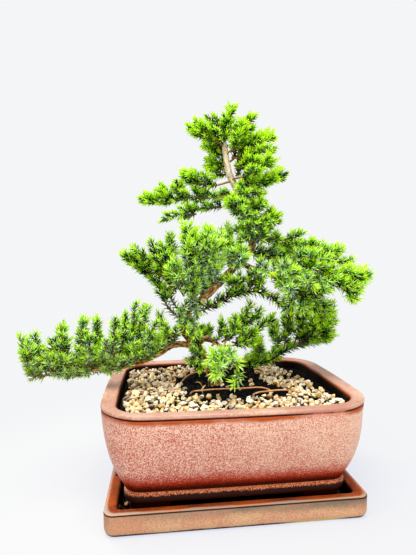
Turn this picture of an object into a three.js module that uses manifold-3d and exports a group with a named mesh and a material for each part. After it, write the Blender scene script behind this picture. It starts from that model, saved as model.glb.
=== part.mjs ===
// A juniper bonsai in a glazed rectangular pot that stands on a drip tray.
// Millimetres. +X runs along the pot's long side, +Y from its front to its back and +Z up. The origin is the
// middle of the tray's underside.

import * as THREE from 'three';
import { mergeVertices } from 'three/addons/utils/BufferGeometryUtils.js';
import Module from 'manifold-3d';

const wasm = await Module();
wasm.setup();

// Driving dimensions ------------------------------------------------------------------------------

const gap = 0.3;                    // air left between neighbours that meet
const cornerSteps = 6;              // straight pieces on each rounded corner
const bowSteps = 3;                 // straight pieces on each side that bows outwards

const pot = {
  halfLength: 100,                  // outside of the rim, at the corners
  halfDepth: 79.4,
  rimTop: 88.7,
  rimRadius: 31,                    // outside corners at the rim and at the foot skirt
  skirtRadius: 12,
  rimBow: 3.3,                      // how far the middle of each side stands out past its ends
  skirtBow: 1,
  holeRadius: 18,                   // inside corners, level with the rim and on the floor
  floorRadius: 12,
  rimEdge: 2.6,                     // from the rim's outside to its level top
  rimWidth: 8.8,                    // across the level top
  underside: 20,
  floor: 27,
  skirtMiddle: 24,
  skirtTop: 26.5,
  cornerRise: 50,                   // height over which the corners widen from skirtRadius to rimRadius
  footRecess: 4,                    // from the skirt back to the feet
  footArm: 30,
  footWidth: 12,
  footRound: 8.4,
  footSink: 1,                      // how far the feet run up into the pot
  drainRadius: 8,
  drainSpacing: 80,
};

// The pot's walls, as heights and how far the wall stands out from the rim's size there.
const potOutside = [
  [20, -17.2], [20.8, -16.2], [25.6, -15.7], [26.5, -16.9], [31, -14.8], [38, -11.2], [47, -7.4], [58, -4.2],
  [70, -2], [84, -0.7], [84.8, -1.5], [85.8, -1.5], [86.6, -0.4], [88.7, -0.9],
];
const potInside = [[88.7, -2.4], [88, -4.2], [87.6, -10.6], [80, -11.8], [56, -11.5], [38, -17.5], [27, -29]];

const tray = {
  halfLength: 98,                   // outside of the top edge
  halfDepth: 71.7,
  cornerRadius: 7.5,
  cornerLoss: 0.35,                 // taken off the radius for each millimetre that the wall stands back
  leastCorner: 3,
  floor: 8,
};
const trayOutside = [[0, -3.4], [1.4, -1.2], [4.5, -0.1], [16.8, 0.1], [17.4, -0.6]];
const trayInside = [[16.6, -8], [15.6, -9], [9.2, -11], [8, -11.8]];

const soil = {
  levels: [28.6, 38, 56, 80],       // heights of its outlines, from its underside to its edge
  heap: 1.4,                        // how much higher its middle is than its edge
  rough: 0.9,
};

const gravel = {
  underside: 80.3,
  edge: 0.4,                        // from the pot's wall
  grout: 80.9,                      // height of the low places between the stones, and how much they vary
  groutRough: 0.4,
  stone: 7.8,                       // distance between the middles of neighbouring stones
  low: 82.8,                        // lowest and highest stone
  high: 85.2,
  stoneShake: 0.6,                  // how far stones and low places stray, as shares of their spacing
  groutShake: 0.4,
};
// Places left bare of gravel: round the trunk, and along the right wall.
const barePatch = [
  [-42, 30], [-38, 6], [-33, -16], [-18, -34], [4, -35], [22, -27], [40, -29], [55, -18], [42, 2], [36, 22],
  [37, 44], [43, 75], [19, 75], [2, 54], [-20, 50], [-35, 44],
];
const bareMargin = [[95, -34], [81, -30], [76, 10], [66, 44], [58, 75], [95, 75]];

// Bent wires that tie the root ball down, from where each leaves the soil to where it goes back in.
const wireRadius = 0.65;
const wireStep = 8;
const anchorWires = {
  anchor_wire_front: [[-33, -10, 76], [-31, -11, 82], [-19, -12, 84], [13, -13, 84.6], [31, -13, 84.2],
    [37, -18, 82], [38, -20, 76]],
  anchor_wire_right: [[18, -24, 76], [20, -23, 82], [34, -23, 84.5], [50, -23, 84.5], [57, -22, 82],
    [59, -22, 76]],
  anchor_wire_back_left: [[-40, 12, 76], [-39, 14, 82], [-28, 39, 84.2], [-16, 50, 83.6], [-8, 54, 81],
    [-5, 55, 76]],
  anchor_wire_left: [[-47, 40, 76], [-47, 37, 82], [-47, 16, 84], [-46, 8, 82], [-46, 5, 76]],
};

const meshPlate = { side: 24, thickness: 0.8, hole: 3.4, pitch: 5.4 };

const pebble = { x: -83.4, y: -44, radius: 2.3, long: 1.1, flat: 0.6 };

// The trunk and its bare limbs: middle line and thickness, from the thick end.
const trunk = {
  line: [[-7, 11, 58], [-8, 10, 82], [-13, 9, 99], [-24, 6, 117], [-37, 4, 135], [-34, 1, 149],
    [-19, -7, 163], [5, -6, 186], [23, 3, 204], [26, 6, 222], [15, 4, 249], [4, 2, 270], [0, 4, 297]],
  radius: [6.5, 6.2, 4.4, 3.9, 3.8, 3.7, 3.7, 3.6, 3.3, 3, 2.5, 2, 1.4],
  sides: 7,
  steps: 22,
};
const limbs = {
  lowLeft: {
    line: [[-24, 6, 118], [-45, 0, 121], [-62, -5, 113], [-81, -8, 107], [-110, -10, 104], [-143, -12, 103]],
    radius: [2.9, 2.7, 2.5, 2.2, 1.8, 1.2],
    sides: 6,
    steps: 14,
  },
  hook: {
    line: [[-27, 5, 123], [-15, -8, 126], [-5, -16, 120], [-4, -24, 114]],
    radius: [2.5, 2.3, 1.8, 1.3],
    sides: 6,
    steps: 6,
  },
  right: {
    line: [[13, -2, 192], [30, -8, 184], [54, -12, 176]],
    radius: [2.6, 2.3, 1.5],
    sides: 6,
    steps: 6,
  },
};
// Pale ends of cut-off branches on the trunk.
const cutKnobs = [
  { from: [-33, 1, 147], to: [-32, -5.5, 146], radius: 2.2 },
  { from: [-19, -7, 162], to: [-21, -13, 160], radius: 2.4 },
  { from: [-25, 6, 119], to: [-15, 3, 127], radius: 1.8 },
];

const needle = {
  length: 7,
  lean: 46,                         // degrees between a needle and its shoot
  tipLean: 30,
  least: 3.2,                       // a needle that would be shorter than this is left out
  rootThickness: 1.3,               // half thickness that is kept clear round it at its root and tip
  tipThickness: 0.15,
  spread: 0.3,                      // share by which lengths and leans vary
};
const shoot = {
  radius: 0.95,                     // stem at its root and at its tip
  tipRadius: 0.65,
  whorl: 4,                         // distance between whorls of needles
  bareStep: 12,                     // distance between rings where there are no needles
  bareShare: 0.3,                   // part of a spray's stem that has no needles
  sideEvery: 3,                     // whorls from one side shoot to the next
  sideBare: 2.8,                    // length of a side shoot that has no needles
  sideLength: 17,
  sideLean: 52,                     // degrees between a side shoot and its stem
  lift: 0.3,                        // how much side shoots turn up
  least: 7,
  clear: 0.4,                       // air to other pieces, and to the spray's own shoots
  clearOwn: 0.15,
  rimMargin: 6,                     // how far past the rim's outside its height counts as the ground
  wallMargin: 14,                   // how far inside it the gravel's height does
};

// Every spray: the middle line of its stem, from the wood that it grows out of to its tip.
const sprays = {
  apex: [[0, 4, 297], [2, 3, 313], [7, 2, 329]],
  crown_left: [[0, 4, 293], [-12, -3, 301], [-23, -6, 305], [-33, -8, 309]],
  crown_left_low: [[1, 3, 287], [-8, 10, 292], [-19, 14, 296]],
  crown_left_under: [[3, 2, 274], [-6, 12, 276], [-16, 18, 280]],
  crown_right: [[0, 3, 285], [10, -6, 294], [16, -8, 304], [19, -8, 316]],
  crown_right_out: [[2, 2, 278], [19, 10, 292], [36, 14, 304], [46, 14, 309]],
  crown_right_low: [[6, 2, 265], [15, -12, 265], [28, -18, 271], [40, -18, 278]],
  crown_right_tip: [[9, 2, 260], [25, 4, 261], [44, 6, 266], [57, 6, 272]],
  shoulder_left: [[5, 2, 263], [-11, -4, 258], [-25, -8, 259], [-39, -10, 265]],
  long_left_upper: [[13, 4, 252], [-6, 0, 249], [-30, -4, 247], [-58, -6, 243], [-72, -8, 247]],
  long_left_lower: [[16, 4, 246], [-1, 10, 242], [-24, 16, 240], [-41, 18, 235], [-56, 18, 229]],
  middle_front: [[21, 5, 237], [8, -14, 236], [0, -24, 242]],
  middle_right_up: [[23, 5, 231], [26, -8, 236], [31, -14, 245]],
  middle_right: [[26, 6, 220], [34, -6, 225], [47, -10, 234]],
  right_upper: [[25, 5, 212], [43, 10, 216], [57, 16, 210], [79, 20, 215], [95, 20, 210]],
  right_top: [[19, 1, 201], [47, 8, 197], [78, 8, 195], [101, 6, 199], [109, 4, 204]],
  right_long: [[54, -12, 176], [76, -16, 173], [102, -18, 175], [125, -20, 182]],
  right_front: [[47, -10, 178], [48, -26, 170], [48, -36, 167]],
  right_drop: [[52, -11, 177], [68, -6, 162], [82, -4, 151], [99, -4, 148]],
  right_mid: [[38, -10, 181], [52, -2, 187], [70, -10, 188], [88, -10, 186]],
  right_arch: [[-34, 2, 147], [-15, -8, 154], [2, -12, 163], [22, -10, 167], [40, -6, 162], [52, -2, 152]],
  low_right: [[-11, 10, 93], [19, 24, 95], [47, 34, 96], [65, 36, 105], [89, 34, 113], [109, 30, 117]],
  hook_right: [[-9, -12, 122], [7, -4, 120], [22, 2, 125], [37, 4, 138], [46, 4, 140]],
  hook_up: [[-5, -17, 120], [-1, -10, 128], [-5, -8, 145]],
  front_tuft: [[-4, -24, 114], [-10, -38, 109], [-16, -49, 104]],
  front_drop: [[-6, -16, 121], [3, -24, 113], [3, -42, 103], [-3, -55, 97], [-6, -61, 94]],
  left_middle: [[-37, 3, 141], [-50, 8, 153], [-57, 10, 171], [-72, 8, 187], [-89, 4, 199]],
  left_inner: [[-36, 2, 146], [-47, 16, 161], [-44, 24, 181], [-46, 26, 202], [-46, 26, 219]],
  heart_left: [[-21, -6, 162], [-26, -22, 182], [-31, -30, 204], [-37, -32, 224]],
  heart: [[-11, -7, 170], [-13, -22, 188], [-15, -30, 205], [-20, -30, 221]],
  heart_back: [[6, -5, 187], [5, 6, 200], [2, 10, 213], [4, 10, 226]],
  heart_front: [[8, -5, 189], [8, -18, 194], [12, -28, 199]],
  elbow: [[-28, -2, 154], [-30, -18, 164], [-26, -24, 178]],
  elbow_low: [[-36, 4, 138], [-39, -12, 148], [-36, -20, 159]],
  base_left: [[-23, 6, 116], [-27, -8, 111], [-23, -14, 103]],
  stub_left: [[-44, 0, 121], [-52, 8, 131], [-59, 12, 148]],
  low_left_a: [[-64, -5, 112], [-68, -14, 127], [-59, -20, 145]],
  low_left_b: [[-74, -7, 109], [-76, 2, 128], [-71, 6, 155]],
  low_left_c: [[-85, -8, 106], [-87, -2, 126], [-86, 0, 149]],
  low_left_d: [[-97, -9, 105], [-95, -18, 126], [-93, -22, 148]],
  low_left_e: [[-110, -10, 104], [-110, -4, 125], [-109, -2, 146]],
  low_left_f: [[-122, -11, 104], [-121, -18, 126], [-117, -22, 147]],
  low_left_g: [[-135, -12, 103], [-140, -8, 122], [-136, -8, 143]],
  low_left_tip: [[-143, -12, 103], [-153, -13, 110], [-160, -12, 121], [-163, -13, 132]],
  back_low: [[-33, 5, 129], [-23, 30, 123], [-7, 52, 121]],
  back_heart: [[-15, -6, 166], [-12, 20, 171], [-15, 44, 183]],
  back_middle: [[26, 6, 218], [24, 28, 218], [19, 44, 226]],
};

const colours = {
  tray: 0xb98a72,
  pot: 0xc0806a,
  meshPlate: 0x3b3d3c,
  soil: 0x1c1713,
  gravel: 0xd9c9a0,
  wire: 0xa97a52,
  pebble: 0xd2a24a,
  wood: 0x8d6f57,
  foliage: [0x7fae3a, 0x6a9a35, 0x8fbb45, 0x5c8a30],
};

// Numbers that look random and are the same each time.
const noise = (seed) => {
  const wave = Math.sin(seed * 12.9898 + 4.137) * 43758.5453;
  return wave - Math.floor(wave);
};

// Turning meshes into solids and back -------------------------------------------------------------

const vec = (p) => new THREE.Vector3(...p);

function geometryOf(positions, indices) {
  const geometry = new THREE.BufferGeometry();
  geometry.setAttribute('position', new THREE.Float32BufferAttribute(positions, 3));
  geometry.setIndex(indices);
  return geometry;
}

function toSolid(geometry) {
  const bare = geometry.clone();
  bare.deleteAttribute('normal');
  bare.deleteAttribute('uv');
  const merged = mergeVertices(bare, 1e-4);
  return new wasm.Manifold(new wasm.Mesh({
    numProp: 3,
    vertProperties: new Float32Array(merged.attributes.position.array),
    triVerts: new Uint32Array(merged.index.array),
  }));
}

function fromSolid(solid) {
  const mesh = solid.getMesh();
  return geometryOf(mesh.vertProperties, Array.from(mesh.triVerts));
}

// The biggest of the pieces that a cut leaves.
function biggest(solid) {
  return solid.decompose().reduce((a, b) => (a.volume() > b.volume() ? a : b));
}

// A closed body from rings with the same number of points, each anticlockwise about the way to the next one.
function loft(rings) {
  const count = rings[0].length;
  const positions = rings.flat().flatMap((p) => [p.x, p.y, p.z]);
  const indices = [];
  const middle = (ring) => ring.reduce((sum, p) => sum.add(p), new THREE.Vector3()).divideScalar(count);
  for (let r = 0; r + 1 < rings.length; r++) {
    for (let i = 0; i < count; i++) {
      const j = (i + 1) % count;
      const [a, b, c, d] = [r * count + i, r * count + j, (r + 1) * count + j, (r + 1) * count + i];
      indices.push(a, b, c, a, c, d);
    }
  }
  const first = positions.length / 3;
  positions.push(...middle(rings[0]).toArray(), ...middle(rings.at(-1)).toArray());
  for (let i = 0; i < count; i++) {
    const j = (i + 1) % count;
    const top = (rings.length - 1) * count;
    indices.push(first, j, i, first + 1, top + i, top + j);
  }
  return geometryOf(positions, indices);
}

// A rectangle with round corners and sides that bow outwards, as points.
function roundedLoop(halfX, halfY, radius, z, bow = 0) {
  const points = [];
  const add = (x, y) => points.push(new THREE.Vector3(
    x * (1 + (bow / halfX) * (1 - (y / halfY) ** 2)),
    y * (1 + (bow / halfY) * (1 - (x / halfX) ** 2)),
    z,
  ));
  const straight = [halfX - radius, halfY - radius];
  const sideSteps = bow > 0 ? bowSteps : 1;
  for (let corner = 0; corner < 4; corner++) {
    const [sx, sy] = [[1, 1], [-1, 1], [-1, -1], [1, -1]][corner];
    for (let i = 0; i <= cornerSteps; i++) {
      const angle = ((corner + i / cornerSteps) * Math.PI) / 2;
      add(sx * straight[0] + radius * Math.cos(angle), sy * straight[1] + radius * Math.sin(angle));
    }
    for (let i = 1; i < sideSteps; i++) {
      const t = 1 - (2 * i) / sideSteps;
      if (corner % 2 === 0) add(sx * t * straight[0], sy * halfY);
      else add(sx * halfX, sy * t * straight[1]);
    }
  }
  return points;
}

// The value of a stepped profile at a height, straight between its points.
function profileAt(profile, z) {
  const i = profile.findIndex((p, n) => n > 0 && (p[0] - z) * (profile[n - 1][0] - z) <= 0);
  const [a, b] = [profile[i - 1], profile[i]];
  return THREE.MathUtils.lerp(a[1], b[1], (z - a[0]) / (b[0] - a[0]));
}

// A round solid that follows a line and changes thickness, with flat ends.
function taperedTube(line, radii, sides, steps) {
  const curve = new THREE.CatmullRomCurve3(line.map(vec), false, 'centripetal');
  const rings = ringFrames(Array.from({ length: steps + 1 }, (_, i) => curve.getPoint(i / steps)));
  return loft(rings.map((ring, i) => {
    const at = (i / steps) * (radii.length - 1);
    const from = Math.min(Math.floor(at), radii.length - 2);
    const radius = THREE.MathUtils.lerp(radii[from], radii[from + 1], at - from);
    return ringPoints(ring, radius, sides, 0);
  }));
}

// Frames that follow a row of points without twisting.
function ringFrames(points) {
  const frames = [];
  let side = null;
  points.forEach((point, i) => {
    const before = points[Math.max(i - 1, 0)];
    const after = points[Math.min(i + 1, points.length - 1)];
    const along = after.clone().sub(before).normalize();
    side ??= Math.abs(along.z) < 0.9 ? new THREE.Vector3(0, 0, 1) : new THREE.Vector3(0, 1, 0);
    const across = side.clone().addScaledVector(along, -side.dot(along)).normalize();
    side = across;
    frames.push({ point, along, across, up: along.clone().cross(across) });
  });
  return frames;
}

function ringPoints(frame, radius, sides, turn) {
  return Array.from({ length: sides }, (_, k) => {
    const angle = turn + (k * 2 * Math.PI) / sides;
    return frame.point.clone()
      .addScaledVector(frame.across, radius * Math.cos(angle))
      .addScaledVector(frame.up, radius * Math.sin(angle));
  });
}

// Pot and tray ------------------------------------------------------------------------------------

function potRing(z, out) {
  const rise = THREE.MathUtils.clamp((z - pot.skirtTop) / pot.cornerRise, 0, 1);
  const radius = THREE.MathUtils.lerp(pot.skirtRadius, pot.rimRadius, rise);
  const bow = THREE.MathUtils.lerp(pot.skirtBow, pot.rimBow, rise);
  return roundedLoop(pot.halfLength + out, pot.halfDepth + out, radius, z, bow);
}

function hollowRing(z, out) {
  const rise = (z - pot.floor) / (pot.rimTop - pot.floor);
  const lip = THREE.MathUtils.clamp((out + pot.rimEdge) / pot.rimWidth + 1, 0, 1);
  const holeRadius = THREE.MathUtils.lerp(pot.floorRadius, pot.holeRadius, rise);
  const radius = THREE.MathUtils.lerp(holeRadius, pot.rimRadius - pot.rimEdge, lip);
  const bow = THREE.MathUtils.lerp(pot.rimBow / 2, pot.rimBow, lip);
  return roundedLoop(pot.halfLength + out, pot.halfDepth + out, radius, z, bow);
}

function makePot() {
  const shell = toSolid(loft([
    ...potOutside.map(([z, out]) => potRing(z, out)),
    ...potInside.map(([z, out]) => hollowRing(z, out)),
  ]));
  const footOut = profileAt(potOutside, pot.skirtMiddle) - pot.footRecess;
  const [footX, footY] = [pot.halfLength + footOut, pot.halfDepth + footOut];
  let body = shell;
  for (const [sx, sy] of [[1, 1], [-1, 1], [-1, -1], [1, -1]]) {
    body = body.add(toSolid(makeFoot(sx * footX, sy * footY, sx, sy)));
  }
  for (const side of [-1, 1]) {
    const drill = new THREE.CylinderGeometry(pot.drainRadius, pot.drainRadius, 2 * pot.underside, 16);
    drill.rotateX(Math.PI / 2);
    drill.translate((side * pot.drainSpacing) / 2, 0, (pot.underside + pot.floor) / 2);
    body = body.subtract(toSolid(drill));
  }
  return fromSolid(body);
}

// An L-shaped foot whose outer corner, at (x, y), is rounded.
function makeFoot(x, y, sx, sy) {
  const { footArm, footWidth, footRound, footSink } = pot;
  const outline = new THREE.Shape();
  outline.moveTo(x - sx * footArm, y);
  outline.lineTo(x - sx * footRound, y);
  outline.quadraticCurveTo(x, y, x, y - sy * footRound);
  outline.lineTo(x, y - sy * footArm);
  outline.lineTo(x - sx * footWidth, y - sy * footArm);
  outline.lineTo(x - sx * footWidth, y - sy * footWidth);
  outline.lineTo(x - sx * footArm, y - sy * footWidth);
  const height = pot.underside - tray.floor + footSink;
  const foot = new THREE.ExtrudeGeometry(outline, { depth: height, bevelEnabled: false, curveSegments: 4 });
  return foot.translate(0, 0, tray.floor);
}

function makeTray() {
  const ring = ([z, out]) => {
    const radius = Math.max(tray.cornerRadius + out * tray.cornerLoss, tray.leastCorner);
    return roundedLoop(tray.halfLength + out, tray.halfDepth + out, radius, z);
  };
  return loft([...trayOutside, ...trayInside].map(ring));
}

// A plate of mesh that keeps soil out of a drain hole.
function makeMeshPlate(x) {
  const { side, thickness, hole, pitch } = meshPlate;
  let plate = toSolid(new THREE.BoxGeometry(side, side, thickness));
  for (let i = -1; i <= 1; i++) {
    for (let j = -1; j <= 1; j++) {
      const eye = new THREE.BoxGeometry(hole, hole, thickness * 2).translate(i * pitch, j * pitch, 0);
      plate = plate.subtract(toSolid(eye));
    }
  }
  return fromSolid(plate).translate(x, 0, pot.floor + gap + thickness / 2);
}

// Soil, gravel and wires --------------------------------------------------------------------------

function makeWire(line, radius) {
  const curve = new THREE.CatmullRomCurve3(line.map(vec), false, 'centripetal');
  const section = new THREE.Shape();
  section.absarc(0, 0, radius, 0, Math.PI * 2);
  return new THREE.ExtrudeGeometry(section, {
    steps: Math.round(curve.getLength() / wireStep),
    curveSegments: 3,               // each is two sides
    extrudePath: curve,
    bevelEnabled: false,
  });
}

// What has to stay clear of soil and gravel: the trunk and the wires, each with its gap.
function makePlugs() {
  const wider = trunk.radius.map((r) => r + gap);
  const low = trunk.line.map(([x, y, z], i) => (i === 0 ? [x, y, z - gap] : [x, y, z]));
  let plugs = toSolid(taperedTube(low, wider, trunk.sides, trunk.steps));
  for (const line of Object.values(anchorWires)) plugs = plugs.add(toSolid(makeWire(line, wireRadius + gap)));
  return plugs;
}

// Soil that fills the pot. Its top is flat under the gravel and a rough low heap round the trunk.
function makeSoil(plugs) {
  const rings = soil.levels.map((z) => hollowRing(z, profileAt(potInside, z) - gap));
  const edge = rings.at(-1);
  [0.4, 0.22, 0.1].forEach((share, n) => {
    rings.push(edge.map((p, i) => {
      const rough = n === 0 ? 0 : (noise(n * 50 + i) - 1 / 3) * soil.rough;
      return new THREE.Vector3(p.x * share, p.y * share, p.z + rough + (n / 2) * soil.heap);
    }));
  });
  return fromSolid(biggest(toSolid(loft(rings)).subtract(plugs)));
}

function prism(points, from, to) {
  const outline = new THREE.Shape(points.map(([x, y]) => new THREE.Vector2(x, y)));
  const block = new THREE.ExtrudeGeometry(outline, { depth: to - from, bevelEnabled: false });
  return toSolid(block.translate(0, 0, from));
}

// Stones side by side in one layer. The sheet's points form equal triangles, and every third point is the
// middle of a stone, which stands up between its six low neighbours.
function makeStoneSheet() {
  const spacing = gravel.stone / Math.sqrt(3);
  const columnWidth = (spacing * Math.sqrt(3)) / 2;
  const columns = Math.ceil((2 * pot.halfLength) / columnWidth);
  const rows = Math.ceil((2 * pot.halfDepth) / spacing);
  const tops = [];
  const feet = [];
  for (let column = 0; column <= columns; column++) {
    for (let row = 0; row <= rows; row++) {
      const seed = column * 97 + row;
      const isMiddle = (column - row + Math.floor(column / 2) + 3 * rows) % 3 === 0;
      const shake = spacing * (isMiddle ? gravel.stoneShake : gravel.groutShake);
      const x = -pot.halfLength + column * columnWidth + (noise(seed) - 0.5) * shake;
      const y = -pot.halfDepth + (row + (column % 2) / 2) * spacing + (noise(seed + 0.3) - 0.5) * shake;
      const z = isMiddle
        ? THREE.MathUtils.lerp(gravel.low, gravel.high, noise(seed + 0.6))
        : gravel.grout + noise(seed + 0.6) * gravel.groutRough;
      tops.push(x, y, z);
      feet.push(x, y, gravel.underside - 2);
    }
  }
  const at = (column, row) => column * (rows + 1) + row;
  const faces = [];
  for (let c = 0; c < columns; c++) {
    for (let r = 0; r < rows; r++) {
      const [a, b, d, e] = [at(c, r), at(c, r + 1), at(c + 1, r), at(c + 1, r + 1)];
      faces.push(...(c % 2 === 0 ? [[a, d, b], [b, d, e]] : [[a, d, e], [a, e, b]]));
    }
  }
  const edge = [];
  for (let c = 0; c < columns; c++) edge.push([at(c, 0), at(c + 1, 0)], [at(c + 1, rows), at(c, rows)]);
  for (let r = 0; r < rows; r++) edge.push([at(columns, r), at(columns, r + 1)], [at(0, r + 1), at(0, r)]);
  const under = tops.length / 3;
  const indices = faces.flatMap(([a, b, c]) => [a, b, c, under + a, under + c, under + b]);
  for (const [a, b] of edge) indices.push(a, under + b, b, a, under + a, under + b);
  return geometryOf([...tops, ...feet], indices);
}

function makeGravel(plugs) {
  const top = soil.levels.at(-1);
  const outline = hollowRing(top, profileAt(potInside, top) - gravel.edge).map((p) => [p.x, p.y]);
  const patchEdge = barePatch.map(([x, y]) => vec([x, y, 0]));
  const patchCurve = new THREE.CatmullRomCurve3(patchEdge, true, 'centripetal');
  const patch = patchCurve.getPoints(24).slice(0, -1).map((p) => [p.x, p.y]);
  const roof = gravel.high + 1;
  const bed = prism(outline, gravel.underside, roof)
    .subtract(prism(patch, gravel.underside - 1, roof + 1))
    .subtract(prism(bareMargin, gravel.underside - 1, roof + 1));
  return fromSolid(biggest(toSolid(makeStoneSheet()).intersect(bed).subtract(plugs)));
}

function makePebble() {
  const stone = new THREE.IcosahedronGeometry(pebble.radius, 0);
  const places = stone.attributes.position;
  const low = pebble.radius * pebble.flat;
  for (let i = 0; i < places.count; i++) {
    const squash = 0.8 + 0.06 * Math.sin(places.getX(i) * 3 + places.getY(i) * 2);
    const z = Math.max(places.getZ(i) * squash, -low);
    places.setXYZ(i, places.getX(i) * pebble.long, places.getY(i) * squash, z);
  }
  return stone.translate(pebble.x, pebble.y, tray.floor + low);
}

// What is already in place ------------------------------------------------------------------------

// Wood, wires, stems and needles as thick lines, so that new growth can be kept clear of them.
const placed = [];

function place(a, b, thickA, thickB, owner, branch) {
  const middle = a.clone().add(b).multiplyScalar(0.5);
  const reach = a.distanceTo(b) / 2 + Math.max(thickA, thickB);
  placed.push({ a, b, thickA, thickB, owner, branch, middle, reach });
}

function placeLine(line, radii, owner, steps) {
  const curve = new THREE.CatmullRomCurve3(line.map(vec), false, 'centripetal');
  const points = curve.getPoints(steps);
  const widest = Math.max(...radii);
  for (let i = 0; i < steps; i++) {
    const from = Math.floor((i / steps) * (radii.length - 1));
    const radius = radii.length === 1 ? widest : Math.max(radii[from], radii[from + 1]);
    place(points[i], points[i + 1], radius, radius, owner, owner);
  }
}

// The air between two thick lines, measured where their middle lines are closest.
function airBetween(one, other) {
  const u = one.b.clone().sub(one.a);
  const v = other.b.clone().sub(other.a);
  const w = one.a.clone().sub(other.a);
  const [uu, uv, vv, uw, vw] = [u.dot(u), u.dot(v), v.dot(v), u.dot(w), v.dot(w)];
  const clamp = (t) => THREE.MathUtils.clamp(t, 0, 1);
  const slant = uu * vv - uv * uv;
  let s = slant > 1e-9 ? clamp((uv * vw - vv * uw) / slant) : 0;
  const t = vv > 1e-9 ? clamp((uv * s + vw) / vv) : 0;
  s = uu > 1e-9 ? clamp((uv * t - uw) / uu) : 0;
  const apart = w.addScaledVector(u, s).addScaledVector(v, -t).length();
  const thick = (line, share) => THREE.MathUtils.lerp(line.thickA, line.thickB, share);
  return apart - thick(one, s) - thick(other, t);
}

// The height of what lies under a point: gravel inside the pot, the rim round it, or nothing.
function groundAt(point) {
  const past = Math.max(Math.abs(point.x) - pot.halfLength, Math.abs(point.y) - pot.halfDepth);
  if (past > shoot.rimMargin) return -Infinity;
  const inside = past < -shoot.wallMargin;
  return inside ? gravel.high : pot.rimTop;
}

function isFree(a, b, thickA, thickB, owner, branch, except = () => false) {
  if (b.z - thickB < groundAt(b) + shoot.clear) return false;
  const fresh = { a, b, thickA, thickB };
  const middle = a.clone().add(b).multiplyScalar(0.5);
  const reach = a.distanceTo(b) / 2 + Math.max(thickA, thickB) + shoot.clear;
  return placed.every((line) => {
    if (line.branch === branch || middle.distanceTo(line.middle) > reach + line.reach) return true;
    if (except(line)) return true;
    return airBetween(fresh, line) > (line.owner === owner ? shoot.clearOwn : shoot.clear);
  });
}

// Sprays ------------------------------------------------------------------------------------------

const woodLines = [trunk, ...Object.values(limbs)];

// A stem's middle line, and where on it the spray begins: at the end of a limb that it carries on, or where
// it comes clear of the wood that it grows out of.
function planSpray(name, index) {
  const curve = new THREE.CatmullRomCurve3(sprays[name].map(vec), false, 'centripetal');
  const length = curve.getLength();
  const root = curve.getPoint(0);
  const carriesOn = woodLines.some(({ line }) => vec(line.at(-1)).distanceTo(root) < 0.1);
  let start = 3 * gap;
  const touches = () => placed.some((wood) => airBetween(cutAcross(curve, start / length), wood) < gap);
  while (!carriesOn && touches()) start += 0.1;
  return { name, index, curve, length, start, shoots: [] };
}

// A thin disc across a stem, as a thick line that has no length to speak of.
function cutAcross(curve, share) {
  const a = curve.getPointAt(share);
  const b = a.clone().addScaledVector(curve.getTangentAt(share), 0.01);
  return { a, b, thickA: shoot.radius, thickB: shoot.radius };
}

// Distances along a shoot of its rings of three points: a few where it is bare, then one for each whorl.
function ringDistances(from, leafFrom, to) {
  const bare = Math.max(1, Math.ceil((leafFrom - from) / shoot.bareStep));
  const leafy = Math.max(1, Math.round((to - leafFrom) / shoot.whorl));
  const distances = [];
  for (let i = 0; i < bare; i++) distances.push(from + ((leafFrom - from) * i) / bare);
  for (let i = 0; i <= leafy; i++) distances.push(leafFrom + ((to - leafFrom) * i) / leafy);
  return { distances, bare };
}

// Lays out a shoot's rings, up to the first place where it would meet something else. Each ring is turned by
// half a step from the last. A side shoot's first ring is the face of its stem that it grows out of.
function growShoot(plan, curve, start, leafFrom, radius, branch, ignore, rootFace = null) {
  const length = curve.getLength();
  const { distances, bare } = ringDistances(start, leafFrom, length);
  const points = distances.map((d) => curve.getPointAt(Math.min(d / length, 1)));
  const thickness = distances.map((d) => THREE.MathUtils.lerp(radius, shoot.tipRadius, d / length));
  const reaches = (i) => isFree(
    points[i - 1], points[i], thickness[i - 1], thickness[i], plan.name, branch, ignore);
  let kept = 1;
  while (kept < points.length && reaches(kept)) kept++;
  if (kept < bare + 2 || distances[kept - 1] - start < shoot.least) return;
  for (let i = 0; i + 1 < kept; i++) {
    place(points[i], points[i + 1], thickness[i], thickness[i + 1], plan.name, branch);
  }
  const frames = ringFrames(points.slice(0, kept));
  const half = Math.PI / 3;
  const turn = rootFace ? angleAbout(frames[1], rootFace[0]) - half : 0;
  const rings = frames.map((frame, i) => ringPoints(frame, thickness[i], 3, turn + i * half));
  if (rootFace) rings[0] = rootFace;
  plan.shoots.push({ frames, rings, bare, branch, tips: new Map() });
}

function angleAbout(frame, point) {
  const away = point.clone().sub(frame.point);
  return Math.atan2(away.dot(frame.up), away.dot(frame.across));
}

function growMainStem(plan) {
  const { curve, length, start, name } = plan;
  const leafFrom = start + (length - start) * shoot.bareShare;
  const root = curve.getPoint(0);
  growShoot(plan, curve, start, leafFrom, shoot.radius, `${name}/stem`, (line) => (
    line.owner === 'wood' && line.middle.distanceTo(root) < line.reach + start + 1));
}

// The three corners of the face that a needle or a side shoot grows out of.
function faceCorners({ rings }, i, k) {
  return [rings[i][k], rings[i][(k + 1) % 3], rings[i + 1][k]];
}

// The middle of a face and the direction straight out of its shoot there.
function outwards(stem, i, corners) {
  const root = corners.reduce((sum, p) => sum.add(p), new THREE.Vector3()).divideScalar(3);
  const { point, along } = stem.frames[i];
  const onAxis = point.clone().addScaledVector(along, root.clone().sub(point).dot(along));
  return { root, along, out: root.clone().sub(onAxis).normalize() };
}

// A direction that leans away from a stem by an angle in degrees.
function leaning(along, out, degrees) {
  const angle = THREE.MathUtils.degToRad(degrees);
  return along.clone().multiplyScalar(Math.cos(angle)).addScaledVector(out, Math.sin(angle));
}

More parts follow.
